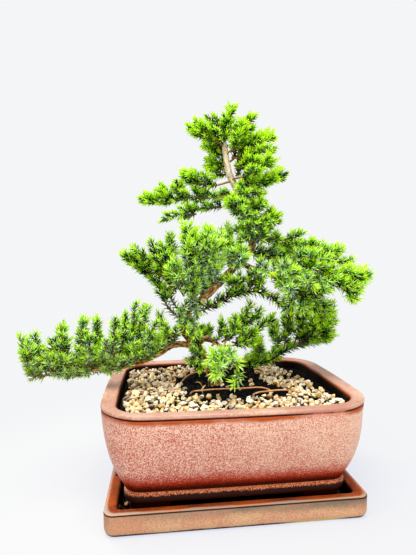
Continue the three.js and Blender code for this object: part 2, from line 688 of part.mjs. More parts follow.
// Side shoots stand on one face of every few whorls, each time on another side, and turn up at their tips.
function growSideShoots(plan) {
  const stem = plan.shoots[0];
  if (!stem) return;
  const whorls = stem.rings.length - 1 - stem.bare;
  for (let w = 0; w < whorls - 1; w += shoot.sideEvery) {
    const i = stem.bare + w;
    const seed = plan.index * 31 + i;
    const k = Math.floor(w / shoot.sideEvery + 3 * noise(plan.index)) % 3;
    const corners = faceCorners(stem, i, k);
    const { root, along, out } = outwards(stem, i, corners);
    const way = leaning(along, out, shoot.sideLean * (0.85 + 0.3 * noise(seed + 0.4)));
    const reach = shoot.sideLength * (1 - (0.4 * w) / whorls) * (0.8 + 0.4 * noise(seed + 0.7));
    const elbow = root.clone().addScaledVector(way, reach * 0.5);
    const bent = way.clone().setZ(way.z + shoot.lift).normalize();
    const curve = new THREE.CatmullRomCurve3([root, elbow, elbow.clone().addScaledVector(bent, reach * 0.5)]);
    const before = plan.shoots.length;
    growShoot(plan, curve, 0, shoot.sideBare, shoot.radius * 0.85, `${plan.name}/side${i}`, (line) => (
      line.owner === plan.name && line.middle.distanceTo(root) < line.reach + 2.5), corners);
    if (plan.shoots.length > before) stem.tips.set(i * 3 + k, plan.shoots.at(-1));
  }
}

// Finds a place for a needle on every face of the whorls that carries no side shoot.
function growNeedles(plan) {
  for (const stem of plan.shoots) {
    const whorls = stem.rings.length - 1 - stem.bare;
    for (let i = stem.bare; i + 1 < stem.rings.length; i++) {
      for (let k = 0; k < 3; k++) {
        if (!stem.tips.has(i * 3 + k)) growNeedle(plan, stem, i, k, (i - stem.bare) / whorls);
      }
    }
  }
}

function growNeedle(plan, stem, i, k, share) {
  const { root, along, out } = outwards(stem, i, faceCorners(stem, i, k));
  const seed = plan.index * 211 + i * 7 + k + root.x;
  const lean = THREE.MathUtils.lerp(needle.lean, needle.tipLean, share);
  const way = leaning(along, out, lean * (1 + needle.spread * (noise(seed) - 0.5)));
  let length = needle.length * (1 + needle.spread * (noise(seed + 0.5) - 0.5));
  for (; length > needle.least; length *= 0.8) {
    const tip = root.clone().addScaledVector(way, length);
    if (isFree(root, tip, needle.rootThickness, needle.tipThickness, plan.name, stem.branch)) {
      place(root, tip, needle.rootThickness, needle.tipThickness, plan.name, stem.branch);
      stem.tips.set(i * 3 + k, tip);
      return;
    }
  }
}

// One closed surface for a spray. Between two rings of a shoot every second face can be drawn out to a
// needle's tip, or be the root of a side shoot.
function makeSpray(plan) {
  const positions = [];
  const indices = [];
  const addPoint = (p) => positions.push(...p.toArray()) / 3 - 1;
  const addShoot = (stem, rootRing) => {
    const { rings, frames, bare, tips } = stem;
    const ids = rings.map((ring, r) => (r === 0 && rootRing ? rootRing : ring.map(addPoint)));
    for (let i = 0; i + 1 < rings.length; i++) {
      for (let k = 0; k < 3; k++) {
        const [a, b] = [ids[i][k], ids[i][(k + 1) % 3]];
        const [c, d] = [ids[i + 1][k], ids[i + 1][(k + 1) % 3]];
        const tip = i >= bare ? tips.get(i * 3 + k) : undefined;
        indices.push(b, d, c);
        if (tip === undefined) {
          indices.push(a, b, c);
        } else if (tip.isVector3) {
          const n = addPoint(tip);
          indices.push(a, b, n, b, c, n, c, a, n);
        } else {
          addShoot(tip, [a, b, c]);
        }
      }
    }
    const last = frames.at(-1);
    const n = addPoint(last.point.clone().addScaledVector(last.along, shoot.whorl * 0.8));
    for (let k = 0; k < 3; k++) indices.push(ids.at(-1)[k], ids.at(-1)[(k + 1) % 3], n);
    if (!rootRing) indices.push(ids[0][0], ids[0][2], ids[0][1]);
  };
  addShoot(plan.shoots[0], null);
  return geometryOf(positions, indices);
}

// Wood --------------------------------------------------------------------------------------------

function makeWood() {
  let wood = toSolid(taperedTube(trunk.line, trunk.radius, trunk.sides, trunk.steps));
  for (const { line, radius, sides, steps } of Object.values(limbs)) {
    wood = wood.add(toSolid(taperedTube(line, radius, sides, steps)));
  }
  for (const { from, to, radius } of cutKnobs) {
    wood = wood.add(toSolid(taperedTube([from, to], [radius, radius * 0.85], 6, 1)));
  }
  return fromSolid(biggest(wood));
}

// The whole object --------------------------------------------------------------------------------

const bonsai = new THREE.Group();

function addMesh(name, geometry, colour, roughness) {
  const material = new THREE.MeshStandardMaterial({ color: colour, roughness, metalness: 0 });
  const mesh = new THREE.Mesh(geometry, material);
  mesh.name = name;
  bonsai.add(mesh);
}

placeLine(trunk.line, trunk.radius, 'wood', trunk.steps);
for (const { line, radius, steps } of Object.values(limbs)) placeLine(line, radius, 'wood', steps);
for (const { from, to, radius } of cutKnobs) placeLine([from, to], [radius], 'wood', 1);
const plans = Object.keys(sprays).map(planSpray);
for (const line of Object.values(anchorWires)) placeLine(line, [wireRadius], 'wire', 12);
plans.forEach(growMainStem);
plans.forEach(growSideShoots);
plans.forEach(growNeedles);

const plugs = makePlugs();
addMesh('tray', makeTray(), colours.tray, 0.5);
addMesh('pot', makePot(), colours.pot, 0.35);
addMesh('drain_mesh_left', makeMeshPlate(-pot.drainSpacing / 2), colours.meshPlate, 0.6);
addMesh('drain_mesh_right', makeMeshPlate(pot.drainSpacing / 2), colours.meshPlate, 0.6);
addMesh('soil', makeSoil(plugs), colours.soil, 1);
addMesh('gravel', makeGravel(plugs), colours.gravel, 0.9);
addMesh('tray_pebble', makePebble(), colours.pebble, 0.8);
for (const [name, line] of Object.entries(anchorWires)) {
  addMesh(name, makeWire(line, wireRadius), colours.wire, 0.5);
}
addMesh('trunk_and_limbs', makeWood(), colours.wood, 0.9);
plans.forEach((plan, i) => {
  addMesh(`spray_${plan.name}`, makeSpray(plan), colours.foliage[i % colours.foliage.length], 0.7);
});

export default bonsai;
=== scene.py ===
import math

import bmesh
import bpy
import numpy as np
from mathutils import Matrix, Vector, noise
from mathutils.kdtree import KDTree


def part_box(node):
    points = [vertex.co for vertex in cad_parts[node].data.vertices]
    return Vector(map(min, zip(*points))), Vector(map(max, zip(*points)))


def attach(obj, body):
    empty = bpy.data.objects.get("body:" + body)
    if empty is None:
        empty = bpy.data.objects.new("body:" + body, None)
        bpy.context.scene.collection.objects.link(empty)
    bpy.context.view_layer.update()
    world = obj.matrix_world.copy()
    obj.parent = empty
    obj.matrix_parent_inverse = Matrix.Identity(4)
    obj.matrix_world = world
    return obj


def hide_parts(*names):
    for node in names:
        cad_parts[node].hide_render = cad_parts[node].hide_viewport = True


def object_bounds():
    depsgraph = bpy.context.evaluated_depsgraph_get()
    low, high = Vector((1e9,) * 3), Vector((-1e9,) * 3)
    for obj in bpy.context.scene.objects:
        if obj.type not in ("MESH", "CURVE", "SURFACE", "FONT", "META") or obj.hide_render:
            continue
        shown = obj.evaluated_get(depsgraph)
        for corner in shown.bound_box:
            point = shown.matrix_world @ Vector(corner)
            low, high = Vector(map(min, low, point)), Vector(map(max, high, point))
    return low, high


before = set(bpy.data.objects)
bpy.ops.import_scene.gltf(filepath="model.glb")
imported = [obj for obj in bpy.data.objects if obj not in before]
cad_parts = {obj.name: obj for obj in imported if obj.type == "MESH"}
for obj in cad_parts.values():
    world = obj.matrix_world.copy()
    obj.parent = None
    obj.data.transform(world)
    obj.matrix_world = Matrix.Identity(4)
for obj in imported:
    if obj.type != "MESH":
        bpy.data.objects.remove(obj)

cadLow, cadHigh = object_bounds()
mm = 0.001  # every size below is in millimetres unless it says otherwise
body = "root"


# Camera, light and floor

camera = {
    "place": (-57.9, -359.6, 192.2),
    "yaw": 6.77,  # degrees to the right of straight ahead
    "pitch": 2.05,  # degrees down
    "roll": -0.22,
    "focal": 416,  # pixels
    "picture": (416, 555),
    "sensor": 36,
}
studio = {
    "background": (0.905, 0.915, 0.925),
    "fill": 0.44,  # what the white room gives, as a share of the background
    "floorRadius": 3.0,  # in metres, as are the next two and the lamps' places
    "floorNear": 0.1,  # up to here the floor has its own colour and glow
    "floorReach": 0.34,  # from here on it is as bright as the background
    "floorColour": (0.175, 0.16, 0.105, 1),
    "floorGlow": (0.645, 0.68, 0.785, 1),
}
lamps = {
    "key": {"place": (-0.12, -0.34, 1.1), "aim": (0.0, 0.0, 0.12), "size": 0.9, "power": 16.5,
            "colour": (1, 0.98, 0.94)},
    "side": {"place": (0.5, -0.85, 0.4), "aim": (0.0, 0.0, 0.12), "size": 0.6, "power": 2.4,
             "colour": (1, 1, 1)},
    "back": {"place": (-0.62, 0.55, 0.5), "aim": (-0.06, 0.03, 0.08), "size": 0.3, "power": 5,
             "colour": (1, 1, 1)},
}


def linear(text):
    # a hex colour as Blender's own linear numbers
    parts = [int(text[i:i + 2], 16) / 255 for i in (0, 2, 4)]
    return [p / 12.92 if p <= 0.04045 else ((p + 0.055) / 1.055) ** 2.4 for p in parts] + [1.0]


class Value:
    # a node's output that takes part in sums
    def __init__(self, paint, socket):
        self.paint = paint
        self.socket = socket

    def sum(self, operation, *terms):
        return self.paint.node("Math", {"operation": operation}, dict(enumerate(terms)))

    def __add__(self, other):
        return self.sum("ADD", self, other)

    def __sub__(self, other):
        return self.sum("SUBTRACT", self, other)

    def __rsub__(self, other):
        return self.sum("SUBTRACT", other, self)

    def __mul__(self, other):
        return self.sum("MULTIPLY", self, other)

    __radd__ = __add__
    __rmul__ = __mul__

    def clamp(self):
        return self.paint.node("Clamp", {}, {0: self})

    def rise(self, low, high):
        # 0 at low and 1 at high, or the other way round if low is the greater
        return self.paint.node("MapRange", {"interpolation_type": "SMOOTHSTEP"}, {0: self, 1: low, 2: high})

    def band(self, low, high, soft):
        # 1 between low and high, with soft ends
        return self.rise(low - soft, low + soft) * self.rise(high + soft, high - soft)


class Paint:
    # a material or a world, with its nodes
    def __init__(self, owner, shader="Principled BSDF", **constants):
        self.owner = owner
        owner.use_nodes = True
        self.tree = owner.node_tree
        self.shader = self.tree.nodes[shader]
        for name, value in constants.items():
            self.shader.inputs[name].default_value = value

    def node(self, kind, settings, inputs, output=0):
        made = self.tree.nodes.new("ShaderNode" + kind)
        for name, value in settings.items():
            if name == "stops":
                self.setStops(made.color_ramp, value)
            else:
                setattr(made, name, value)
        for name, value in inputs.items():
            self.feed(made.inputs[name], value)
        return Value(self, made.outputs[output])

    def setStops(self, ramp, stops):
        for extra in range(len(stops) - 2):
            ramp.elements.new(0.5)
        for element, (position, colour) in zip(ramp.elements, stops):
            element.position = position
            element.color = linear(colour)

    def feed(self, socket, value):
        if isinstance(value, Value):
            self.tree.links.new(value.socket, socket)
        elif isinstance(value, str):
            socket.default_value = linear(value)
        else:
            socket.default_value = value

    def place(self, scale=(1, 1, 1)):
        objectPlace = self.node("TexCoord", {}, {}, "Object")
        return self.node("Mapping", {}, {"Vector": objectPlace, "Scale": scale})

    def speckle(self, size, detail, roughness, stretch=(1, 1, 1)):
        # noise with grains of about that size
        scale = 1 / (size * mm)
        inputs = {"Vector": self.place(stretch), "Scale": scale, "Detail": detail, "Roughness": roughness}
        return self.node("TexNoise", {}, inputs)

    def attribute(self, name, output="Fac"):
        return self.node("Attribute", {"attribute_name": name}, {}, output)

    def split(self, kind, whole):
        # the three numbers of a colour, as kind Color, or of a place or direction, as kind XYZ
        made = self.node("Separate" + kind, {}, {0: whole})
        return [Value(self, socket) for socket in made.socket.node.outputs]

    def mix(self, factor, first, second):
        return self.node("Mix", {"data_type": "RGBA"}, {0: factor, 6: first, 7: second}, 2)

    def ramp(self, factor, *stops):
        return self.node("ValToRGB", {"stops": stops}, {0: factor})

    def bump(self, height, depth, strength):
        return self.node("Bump", {}, {"Height": height, "Distance": depth * mm, "Strength": strength})

    def finish(self, **channels):
        for name, value in channels.items():
            self.feed(self.shader.inputs[name], value)
        return self.owner


def material(name, **constants):
    return Paint(bpy.data.materials.new(name), **constants)


def makeCamera():
    made = bpy.data.objects.new("camera", bpy.data.cameras.new("camera"))
    bpy.context.collection.objects.link(made)
    made.data.sensor_width = camera["sensor"]
    made.data.lens = camera["sensor"] * camera["focal"] / max(camera["picture"])
    made.data.clip_start = 0.01
    heading = Matrix.Rotation(-math.radians(camera["yaw"]), 4, "Z")
    dip = Matrix.Rotation(math.radians(90 - camera["pitch"]), 4, "X")
    tilt = Matrix.Rotation(math.radians(camera["roll"]), 4, "Z")
    made.matrix_world = Matrix.Translation(Vector(camera["place"]) * mm) @ heading @ dip @ tilt
    bpy.context.scene.camera = made


def addLamp(name, place, aim, size, power, colour):
    lamp = bpy.data.lights.new(name, "AREA")
    lamp.shape = "DISK"
    lamp.size = size
    lamp.energy = power
    lamp.color = colour
    made = bpy.data.objects.new(name, lamp)
    bpy.context.collection.objects.link(made)
    made.location = place
    made.rotation_euler = (Vector(aim) - Vector(place)).to_track_quat("-Z", "Y").to_euler()


def makeStudio():
    world = bpy.data.worlds.new("white_room")
    bpy.context.scene.world = world
    room = Paint(world, "Background")
    seen = room.node("LightPath", {}, {}, "Is Camera Ray")
    white = tuple(studio["background"]) + (1,)
    fill = tuple(c * studio["fill"] for c in studio["background"]) + (1,)
    room.finish(Color=room.mix(seen, fill, white))

    bpy.ops.mesh.primitive_circle_add(vertices=96, radius=studio["floorRadius"], fill_type="NGON")
    floor = bpy.context.object
    floor.name = "studio_floor"
    paper = material("floor_paper", **{"Roughness": 0.9, "Specular IOR Level": 0.0, "Emission Strength": 1.0})
    away = paper.node("VectorMath", {"operation": "LENGTH"}, {0: paper.place()}, "Value")
    near = away.rise(studio["floorReach"], studio["floorNear"])
    paper.finish(**{
        "Base Color": paper.mix(near, (0, 0, 0, 1), studio["floorColour"]),
        "Emission Color": paper.mix(near, white, studio["floorGlow"]),
    })
    floor.data.materials.append(paper.owner)

    for name, settings in lamps.items():
        addLamp(name, **settings)
    bpy.context.scene.view_settings.view_transform = "Standard"
    bpy.context.scene.view_settings.look = "None"


bpy.ops.object.select_all(action="DESELECT")
makeCamera()
makeStudio()
print("studio ready")


# Shared ways of making pieces


def fraction(seed):
    # a number from 0 to 1 that looks random and is the same each time
    wave = math.sin(seed * 12.9898 + 4.137) * 43758.5453
    return wave - math.floor(wave)


def softened(profile, steps=5):
    # rounds each inner corner of a row of (height, outwards, softness) points
    points = [np.array(p[:2], float) for p in profile]
    result = [points[0]]
    for i in range(1, len(points) - 1):
        corner = points[i]
        back = points[i - 1] - corner
        on = points[i + 1] - corner
        start = corner + back * min(profile[i][2] / np.linalg.norm(back), 0.5)
        end = corner + on * min(profile[i][2] / np.linalg.norm(on), 0.5)
        for k in range(steps + 1):
            t = k / steps
            result.append(start * (1 - t) ** 2 + corner * 2 * t * (1 - t) + end * t ** 2)
    result.append(points[-1])
    tidy = [result[0]]
    for p in result[1:]:
        if np.linalg.norm(p - tidy[-1]) > 0.05:
            tidy.append(p)
    return tidy


loop = {
    "cornerSteps": 12,
    "sideSteps": 16,
}
quarters = ((1, 1), (-1, 1), (-1, -1), (1, -1))  # signs of X and Y at the four corners


def roundedLoop(halfX, halfY, radius, height, bow=0.0):
    # a rectangle with round corners and sides that bow outwards
    points = []
    straight = (halfX - radius, halfY - radius)

    def add(x, y):
        points.append((
            x * (1 + bow / halfX * (1 - (y / halfY) ** 2)),
            y * (1 + bow / halfY * (1 - (x / halfX) ** 2)),
            height,
        ))

    for corner, (signX, signY) in enumerate(quarters):
        for i in range(loop["cornerSteps"] + 1):
            angle = (corner + i / loop["cornerSteps"]) * math.pi / 2
            add(
                signX * straight[0] + radius * math.cos(angle),
                signY * straight[1] + radius * math.sin(angle),
            )
        for i in range(1, loop["sideSteps"]):
            t = 1 - 2 * i / loop["sideSteps"]
            if corner % 2 == 0:
                add(signX * t * straight[0], signY * halfY)
            else:
                add(signX * halfX, signY * t * straight[1])
    return points


def pullRings(name, rings):
    # a disc whose face is pulled out again and again, each time to the next ring
    bpy.ops.object.select_all(action="DESELECT")
    bpy.ops.mesh.primitive_circle_add(vertices=len(rings[0]), fill_type="NGON")
    piece = bpy.context.object
    piece.name = name
    piece.data.name = name
    bpy.ops.object.mode_set(mode="EDIT")
    bpy.ops.mesh.select_mode(type="FACE")
    mesh = bmesh.from_edit_mesh(piece.data)
    mesh.verts.ensure_lookup_table()
    order = {vertex: i for i, vertex in enumerate(mesh.verts)}
    for vertex, i in order.items():
        vertex.co = Vector(rings[0][i]) * mm
    for ring in rings[1:]:
        bpy.ops.mesh.extrude_region_move()
        mesh = bmesh.from_edit_mesh(piece.data)
        pulled = {}
        for vertex in mesh.verts:
            if vertex.select:
                for edge in vertex.link_edges:
                    if edge.other_vert(vertex) in order:
                        pulled[vertex] = order[edge.other_vert(vertex)]
                        vertex.co = Vector(ring[pulled[vertex]]) * mm
        order = pulled
    bpy.ops.mesh.select_all(action="SELECT")
    bpy.ops.mesh.normals_make_consistent(inside=False)
    bpy.ops.object.mode_set(mode="OBJECT")
    return piece


def apply(piece, kind, **settings):
    # adds a modifier and applies it
    bpy.context.view_layer.objects.active = piece
    modifier = piece.modifiers.new(kind.lower(), kind)
    for name, value in settings.items():
        setattr(modifier, name, value)
    bpy.ops.object.modifier_apply(modifier=modifier.name)


def combine(piece, other, operation):
    # joins the other solid to the piece or cuts it out, and removes it
    apply(piece, "BOOLEAN", object=other, operation=operation, solver="EXACT")
    bpy.data.objects.remove(other)


def addBlock(place, size):
    bpy.ops.mesh.primitive_cube_add(size=1, location=place, scale=size)
    bpy.ops.object.transform_apply(location=True, rotation=False, scale=True)
    return bpy.context.object


def smooth(piece, degrees):
    bpy.ops.object.select_all(action="DESELECT")
    piece.select_set(True)
    bpy.context.view_layer.objects.active = piece
    bpy.ops.object.shade_smooth_by_angle(angle=math.radians(degrees))


def join(name, pieces):
    bpy.ops.object.select_all(action="DESELECT")
    for piece in pieces:
        piece.select_set(True)
    bpy.context.view_layer.objects.active = pieces[0]
    bpy.ops.object.join()
    pieces[0].name = name
    return pieces[0]


def fit(piece, slot, nodes, *materials):
    # the piece stands for those nodes of the frame and moves with the body
    piece.data.materials.clear()
    for made in materials:
        piece.data.materials.append(made)
    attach(piece, body)
    if nodes:
        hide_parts(*nodes)


def pointsOf(piece):
    places = np.zeros(len(piece.data.vertices) * 3)
    piece.data.vertices.foreach_get("co", places)
    return places.reshape(-1, 3)


def setPoints(piece, places):
    piece.data.vertices.foreach_set("co", np.asarray(places, float).ravel())
    piece.data.update()


def markPoints(piece, name, values):
    made = piece.data.attributes.new(name, "FLOAT", "POINT")
    made.data.foreach_set("value", np.asarray(values, np.float32))


def pile(name, shapes, copies):
    # one mesh of many copies, each with its shape's number, its turn and size as a matrix, its place, and a
    # value that is kept as its shade
    vertices, corners, totals, shades = [], [], [], []
    first = 0
    for number, turn, spot, value in copies:
        shape = shapes[number]
        vertices.append(shape["points"] @ turn.T + spot)
        corners.append(shape["corners"] + first)
        totals.append(shape["totals"])
        shades.append(np.full(len(shape["points"]), value, np.float32))
        first += len(shape["points"])
    piece = meshFrom(name, np.concatenate(vertices), np.concatenate(corners), np.concatenate(totals))
    markPoints(piece, "shade", np.concatenate(shades))
    return piece


def meshFrom(name, points, corners, totals):
    # a mesh of points in metres, the corners of its faces in a row, and how many each face has
    mesh = bpy.data.meshes.new(name)
    mesh.vertices.add(len(points))
    mesh.vertices.foreach_set("co", np.asarray(points, np.float32).ravel())
    mesh.loops.add(len(corners))
    mesh.loops.foreach_set("vertex_index", np.asarray(corners, np.int32))
    mesh.polygons.add(len(totals))
    starts = np.concatenate(([0], np.cumsum(totals)[:-1]))
    mesh.polygons.foreach_set("loop_start", starts.astype(np.int32))
    mesh.update(calc_edges=True)
    piece = bpy.data.objects.new(name, mesh)
    bpy.context.collection.objects.link(piece)
    return piece


def shapeOf(piece):
    # a modelled piece as a shape to copy; the piece itself is removed
    shape = {
        "points": pointsOf(piece),
        "corners": np.array([i for face in piece.data.polygons for i in face.vertices]),
        "totals": np.array([len(face.vertices) for face in piece.data.polygons]),
        "normals": np.array([face.normal[:] for face in piece.data.polygons]),
    }
    bpy.data.objects.remove(piece)
    return shape


def curveThrough(points, step):
    # a centripetal Catmull-Rom curve through the points, cut into even steps
    given = [np.array(p, float) for p in points]
    ends = [2 * given[0] - given[1], *given, 2 * given[-1] - given[-2]]
    line = []
    for a, b, c, d in zip(ends, ends[1:], ends[2:], ends[3:]):
        gaps = [max(np.linalg.norm(q - p), 1e-4) ** 0.5 for p, q in ((a, b), (b, c), (c, d))]
        start = ((b - a) / gaps[0] - (c - a) / (gaps[0] + gaps[1]) + (c - b) / gaps[1]) * gaps[1]
        end = ((c - b) / gaps[1] - (d - b) / (gaps[1] + gaps[2]) + (d - c) / gaps[2]) * gaps[1]
        for t in np.linspace(0, 1, 24, endpoint=False):
            line.append(
                b * (2 * t ** 3 - 3 * t ** 2 + 1) + start * (t ** 3 - 2 * t ** 2 + t)
                + c * (3 * t ** 2 - 2 * t ** 3) + end * (t ** 3 - t ** 2)
            )
    line = np.array([*line, given[-1]])
    along = np.concatenate(([0], np.cumsum(np.linalg.norm(np.diff(line, axis=0), axis=1))))
    count = max(int(round(along[-1] / step)), 2)
    even = np.linspace(0, along[-1], count + 1)
    return np.stack([np.interp(even, along, line[:, k]) for k in range(3)], 1)


def unit(vector):
    return vector / max(np.linalg.norm(vector), 1e-9)


def framesAlong(line):
    # directions that follow a line without twisting: along it and two across it
    tangents = np.gradient(line, axis=0)
    tangents /= np.linalg.norm(tangents, axis=1)[:, None]
    across = np.array([0.0, 0.0, 1.0]) if abs(tangents[0][2]) < 0.9 else np.array([0.0, 1.0, 0.0])
    first, second = [], []
    for tangent in tangents:
        across = unit(across - tangent * (across @ tangent))
        first.append(across)
        second.append(np.cross(tangent, across))
    return tangents, np.array(first), np.array(second)


def tubeRings(line, radii, sides):
    tangents, first, second = framesAlong(line)
    angles = np.arange(sides) * 2 * math.pi / sides
    rings = []
    for i, point in enumerate(line):
        rings.append([point + radii[i] * (math.cos(a) * first[i] + math.sin(a) * second[i]) for a in angles])
    return rings


# Pot and tray

pot = {
    "halfLength": 100,
    "halfDepth": 79.4,
    "rimRadius": 31,
    "skirtRadius": 12,
    "rimBow": 3.1,
    "skirtBow": 1,
    "holeRadius": 18,
    "floorRadius": 12,
    "rimEdge": 2.6,
    "rimWidth": 8.8,
    "rimTop": 88.7,
    "floor": 27,
    "skirtTop": 26.5,
    "cornerRise": 50,
    # height, how far out from the rim's size, how soft the corner is
    "outside": (
        (20, -17.2, 0), (20.2, -16, 0.6), (22.8, -15.5, 2), (25.6, -15.8, 1), (26.5, -16.9, 0.5),
        (31, -14.8, 9), (38, -11.2, 9), (47, -7.4, 9), (58, -4.2, 9), (70, -2, 9), (84.2, -0.75, 0.5),
        (84.9, -1.5, 0.4), (85.7, -1.5, 0.4), (86.5, -0.45, 0.6), (88.7, -0.7, 0.8), (88.75, -1.8, 0),
    ),
    "inside": (
        (88.7, -2.6, 0), (88.3, -5, 4), (87.9, -10.2, 1), (86.4, -11.1, 1), (80, -11.8, 3), (56, -11.5, 9),
        (38, -17.5, 9), (27.4, -25, 4), (27, -29, 0),
    ),
    # where the glaze changes: height and how far out
    "marks": {
        "skirtTop": (26.3, -16.7),
        "groove": (84.9, -1.5),
        "lip": (86.5, -0.45),
        "rimIn": (87.9, -10.2),
    },
    "footOut": -19.7,
    "footArm": 30,
    "footWidth": 12,
    "footRound": 8.4,
    "footEase": 0.9,  # of its other edges
    "footTop": 21,
    "footBase": 8,
    "drainRadius": 8,
    "drainSpacing": 80,
    "drillLength": 40,
}
tray = {
    "halfLength": 98,
    "halfDepth": 71.7,
    "cornerRadius": 7.5,
    "cornerLoss": 0.35,
    "leastCorner": 3,
    "profile": (
        (0, -3.4, 0), (0.9, -1.5, 1), (4.5, -0.1, 2), (16.7, 0.05, 0.7), (17.35, -0.9, 0.8),
        (16.5, -8.2, 1.2), (14.8, -9.4, 1.5), (9.4, -11, 1), (8, -12.4, 1), (8, -13.5, 0),
    ),
    "marks": {
        "foot": (0.9, -1.5),
        "shoulder": (16.6, 0),
        "edge": (17.3, -0.9),
        "inner": (16.5, -8.0),
    },
}
potGlaze = {
    "ground": "c2604c",
    "speck": "f7ccb4",
    # warm pale: random patches on the rim, and painted light on the pot's right side
    "warmPatchAndLitSide": "f4cdaa",
    "rust": "aa2200",
    "rustSpeck": "cc4a16",
    "burnt": "2e0300",
    "skirt": "e08a5c",
    "orange": "86290a",
    "underRim": "b5501c",
    "rim": "bc8470",
    "rimPale": "cfa898",
    "edgeBrown": "8a3c17",
    # near black: a dark line of the glaze, and painted shade in the groove and on the hollow's inner wall
    "darkAndPaintedShade": "120502",
    # dark clay of the feet and skirt, with painted shade under the pot
    "footClayAndShade": "2a0b04",
}
trayGlaze = {
    "wall": "deae84",
    "wallPink": "d69a76",
    "grain": "94583a",
    "grey": "7d6a58",
    "edge": "b39c88",
    "line": "1c0f08",
    "slope": "b8561f",
    "slopeDark": "6e2208",
    "foot": "2c0c06",
    # near black: the wet floor of the well, and painted shade under the pot
    "wetWellAndShade": "020101",
    "residue": "d6bc6c",
}


def mixed(low, high, t):
    return low + (high - low) * min(max(t, 0), 1)


def potRing(height, out):
    rise = (height - pot["skirtTop"]) / pot["cornerRise"]
    radius = mixed(pot["skirtRadius"], pot["rimRadius"], rise)
    bow = mixed(pot["skirtBow"], pot["rimBow"], rise)
    return roundedLoop(pot["halfLength"] + out, pot["halfDepth"] + out, radius, height, bow)


def hollowRing(height, out):
    rise = (height - pot["floor"]) / (pot["rimTop"] - pot["floor"])
    lip = (out + pot["rimEdge"]) / pot["rimWidth"] + 1
    hole = mixed(pot["floorRadius"], pot["holeRadius"], rise)
    radius = mixed(hole, pot["rimRadius"] - pot["rimEdge"], lip)
    bow = mixed(pot["rimBow"] / 2, pot["rimBow"], lip)
    return roundedLoop(pot["halfLength"] + out, pot["halfDepth"] + out, radius, height, bow)


def trayRing(height, out):
    radius = max(tray["cornerRadius"] + out * tray["cornerLoss"], tray["leastCorner"])
    return roundedLoop(tray["halfLength"] + out, tray["halfDepth"] + out, radius, height)


def lengthsAlong(profile):
    steps = [np.linalg.norm(b - a) for a, b in zip(profile, profile[1:])]
    return np.concatenate(([0], np.cumsum(steps)))


def markAlong(piece, rings, lengths):
    # gives each point of the piece the length along the wall of the nearest ring
    tree = KDTree(len(rings) * len(rings[0]))
    for number, ring in enumerate(rings):
        for i, point in enumerate(ring):
            tree.insert(Vector(point) * mm, number * len(ring) + i)
    tree.balance()
    nearest = [tree.find(vertex.co)[1] // len(rings[0]) for vertex in piece.data.vertices]
    markPoints(piece, "along", [lengths[i] for i in nearest])


def marksAlong(profile, lengths, spots):
    # how far along the wall each of the named spots lies
    marks = {}
    for name, (height, out) in spots.items():
        gaps = [abs(height - p[0]) + abs(out - p[1]) for p in profile]
        marks[name] = float(lengths[int(np.argmin(gaps))])
    return marks


def makeFoot(signX, signY):
    # a block with its outer corner rounded, less the block that leaves it L-shaped
    arm, width = pot["footArm"] * mm, pot["footWidth"] * mm
    corner = Vector((pot["halfLength"] + pot["footOut"], pot["halfDepth"] + pot["footOut"])) * mm
    height = (pot["footTop"] - pot["footBase"]) * mm
    middle = Vector((
        signX * (corner.x - arm / 2),
        signY * (corner.y - arm / 2),
        pot["footBase"] * mm + height / 2,
    ))
    foot = addBlock(middle, (arm, arm, height))
    bpy.ops.object.mode_set(mode="EDIT")
    bpy.ops.mesh.select_mode(type="EDGE")
    bpy.ops.mesh.select_all(action="DESELECT")
    mesh = bmesh.from_edit_mesh(foot.data)
    for edge in mesh.edges:
        at = (edge.verts[0].co + edge.verts[1].co) / 2
        upright = abs(edge.verts[0].co.z - edge.verts[1].co.z) > height / 2
        edge.select = upright and signX * at.x > corner.x - width / 2 and signY * at.y > corner.y - width / 2
    bmesh.update_edit_mesh(foot.data)
    bpy.ops.mesh.bevel(offset=pot["footRound"] * mm, segments=6)
    bpy.ops.object.mode_set(mode="OBJECT")
    away = Vector((signX, signY, 0)) * width
    combine(foot, addBlock(middle - away, (arm, arm, 2 * height)), "DIFFERENCE")
    apply(foot, "BEVEL", width=pot["footEase"] * mm, segments=2, limit_method="ANGLE",
          angle_limit=math.radians(50))
    return foot


def makePot():
    outside = softened(pot["outside"])
    inside = softened(pot["inside"])
    rings = [potRing(*p) for p in outside] + [hollowRing(*p) for p in inside]
    lengths = lengthsAlong(outside + inside)
    piece = pullRings("glazed_pot", rings)
    for signX, signY in quarters:
        combine(piece, makeFoot(signX, signY), "UNION")
    for side in (-1, 1):
        place = (side * pot["drainSpacing"] / 2 * mm, 0, pot["floor"] * mm)
        bpy.ops.mesh.primitive_cylinder_add(
            vertices=40, radius=pot["drainRadius"] * mm, depth=pot["drillLength"] * mm, location=place,
        )
        combine(piece, bpy.context.object, "DIFFERENCE")
    markAlong(piece, rings, lengths)
    smooth(piece, 35)
    marks = marksAlong(outside + inside, lengths, pot["marks"])
    fit(piece, "pot_glaze", ["pot"], potGlazeMaterial(marks))


